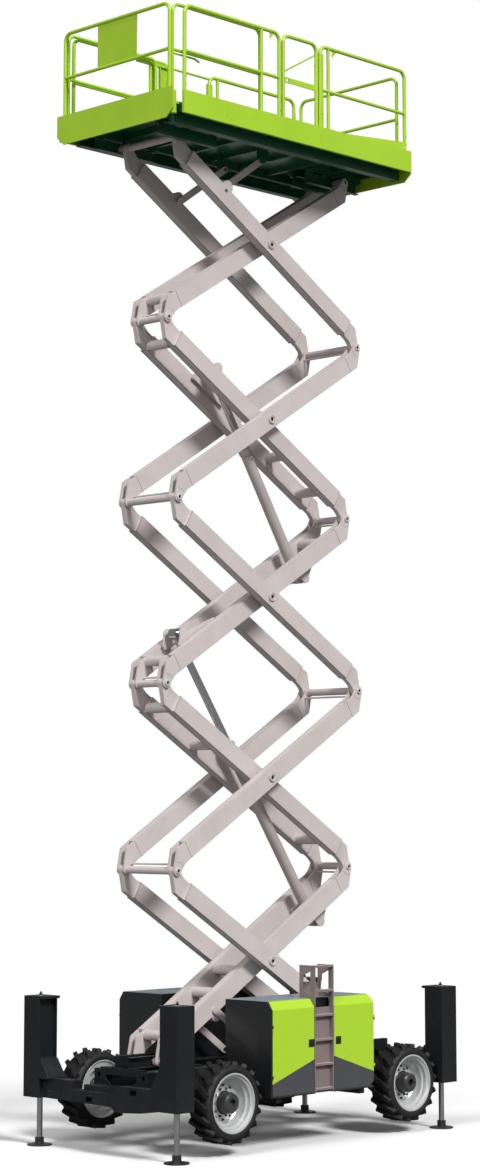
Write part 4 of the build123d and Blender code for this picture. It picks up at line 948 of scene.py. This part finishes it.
rail_bolts = 0
for side in (1, -1):
    for x in RAIL_POSTS_X:
        for z in RAIL_BOLTS_Z:
            spot, normal = land("guard_rails", (x, side * 2.0, z), (0, -side, 0))
            if abs(spot.y) > RAIL_LEAST_Y:
                shop.hexagon(spot, normal, 0.014, 0.008)
                rail_bolts += 1
for x in GUSSETS_X:
    shop.plate(((x, GUSSET_Y, GUSSET_TOP), (x - GUSSET_LENGTH, GUSSET_Y, GUSSET_TOP),
                (x, GUSSET_Y, GUSSET_FOOT)), (0, 0.008, 0))
for low, high in FAR_BRACKET:
    shop.brick(low, high)
hook = []
for angle in range(200, 23, -22):
    turn = math.radians(angle)
    hook.append(HOOK_AT + HOOK_RADIUS * Vector((math.cos(turn), 0, math.sin(turn))))
shop.tube(hook, 0.006, 8)
for y in (BOARD_Y, -BOARD_Y):
    for x in BOARD_SEAMS_X:
        shop.tube([(x, y, z) for z in BOARD_Z], THIN_BEAD, 6)
shop.finish("fittings_platform", "platform", LIME, bevel=0.0008)
print("bolts on the rails:", rail_bolts)


# %% Gate and extension
GATE_STAY = ((0.322, 0.905, 12.169), (-0.243, 0.905, 12.493))
HANDLE_Y, HANDLE_Z = 0.866, 12.045
SIGN_BOLTS_Y, SIGN_BOLTS_Z = (-0.290, 0.314), (12.17, 12.55)

shop.tube(GATE_STAY, 0.010, 10)
shop.finish("stay_gate", "gate", LIME, bevel=0.0008)

post, _ = land("extension_rails", (1.70, HANDLE_Y, HANDLE_Z), (1, 0, 0))
shop.tube([(1.63, HANDLE_Y, 12.02), (1.70, HANDLE_Y, HANDLE_Z),
           (post.x + 0.012, HANDLE_Y, HANDLE_Z)], 0.012, 10)
print("handle meets the post at x", round(post.x, 3))
for y in SIGN_BOLTS_Y:
    for z in SIGN_BOLTS_Z:
        spot, normal = land("extension_rails", (FAR_OFF, y, z), (-1, 0, 0))
        shop.hexagon(spot, normal, 0.012, 0.006)
shop.finish("fittings_extension", "extension", LIME, bevel=0.0006)
print("platform dressed")


# %% [markdown]
# ## Studio
#
# The machine stands on a plain pale floor that runs out of sight, under even light.  The
# floor is matt near the machine, so it catches a soft shadow, and further off it turns into
# the white of the backdrop, so no horizon shows.  The world gives plain light from all
# round; two broad suns give the sides their different brightness.

# %% Floor
FLOOR_RADIUS = 60
FADE_FROM, FADE_TO = 3.5, 7.5          # the floor turns white between these distances
FLOOR_BOUNCE, FLOOR_SEEN = 0.22, 0.93  # its grey for the light it sends back, and as seen


def studio_floor():
    """Round floor that fades from a matt surface to plain white."""
    mesh = bpy.data.meshes.new("studio_floor")
    work = bmesh.new()
    bmesh.ops.create_circle(work, cap_ends=True, segments=96, radius=FLOOR_RADIUS)
    work.to_mesh(mesh)
    work.free()
    floor = bpy.data.objects.new("studio_floor", mesh)
    bpy.context.scene.collection.objects.link(floor)
    material = bpy.data.materials.new("floor_white")
    material.use_nodes = True
    tree = material.node_tree
    tree.nodes.clear()
    place = put(tree, "ShaderNodeTexCoord")
    away = put(tree, "ShaderNodeVectorMath", {0: place.outputs["Object"]}, operation="LENGTH")
    fade = remap(tree, away.outputs["Value"], FADE_FROM, FADE_TO)
    white = put(tree, "ShaderNodeEmission", {"Color": (1, 1, 1, 1), "Strength": 1.0})
    path = put(tree, "ShaderNodeLightPath")
    tone = blend_colour(tree, path.outputs["Is Camera Ray"], (*[FLOOR_BOUNCE] * 3, 1),
                        (*[FLOOR_SEEN] * 3, 1))
    matt = put(tree, "ShaderNodeBsdfDiffuse", {"Color": tone})
    seen = maths(tree, "MULTIPLY", path.outputs["Is Camera Ray"], fade)
    mix = put(tree, "ShaderNodeMixShader", {0: seen, 1: matt.outputs[0],
                                            2: white.outputs[0]})
    put(tree, "ShaderNodeOutputMaterial", {0: mix.outputs[0]})
    mesh.materials.append(material)


studio_floor()


# %% Light
WORLD_LIGHT = 0.26


def studio_world():
    """Even pale light; the camera itself sees plain white behind the machine."""
    world = bpy.data.worlds.new("studio_world")
    bpy.context.scene.world = world
    world.use_nodes = True
    tree = world.node_tree
    tree.nodes.clear()
    path = put(tree, "ShaderNodeLightPath")
    clear = maths(tree, "MAXIMUM", path.outputs["Is Camera Ray"],
                  path.outputs["Is Transmission Ray"])
    dim = put(tree, "ShaderNodeBackground", {"Color": (1, 1, 1, 1), "Strength": WORLD_LIGHT})
    white = put(tree, "ShaderNodeBackground", {"Color": (1, 1, 1, 1), "Strength": 1.0})
    mix = put(tree, "ShaderNodeMixShader", {0: clear, 1: dim.outputs[0],
                                            2: white.outputs[0]})
    put(tree, "ShaderNodeOutputWorld", {0: mix.outputs[0]})


def broad_sun(name, towards, strength, spread):
    """Soft sun that shines from a direction given as (x, y, z)."""
    data = bpy.data.lights.new(name, "SUN")
    data.energy = strength
    data.angle = math.radians(spread)
    lamp = bpy.data.objects.new(name, data)
    lamp.rotation_mode = "QUATERNION"
    lamp.rotation_quaternion = Vector(towards).to_track_quat("Z", "Y")
    bpy.context.scene.collection.objects.link(lamp)
    print(name, "strength", strength)


studio_world()
broad_sun("side_sun", (0.15, 1.0, 0.85), 3.0, 14)
broad_sun("front_sun", (1.0, 0.25, 0.7), 1.5, 25)
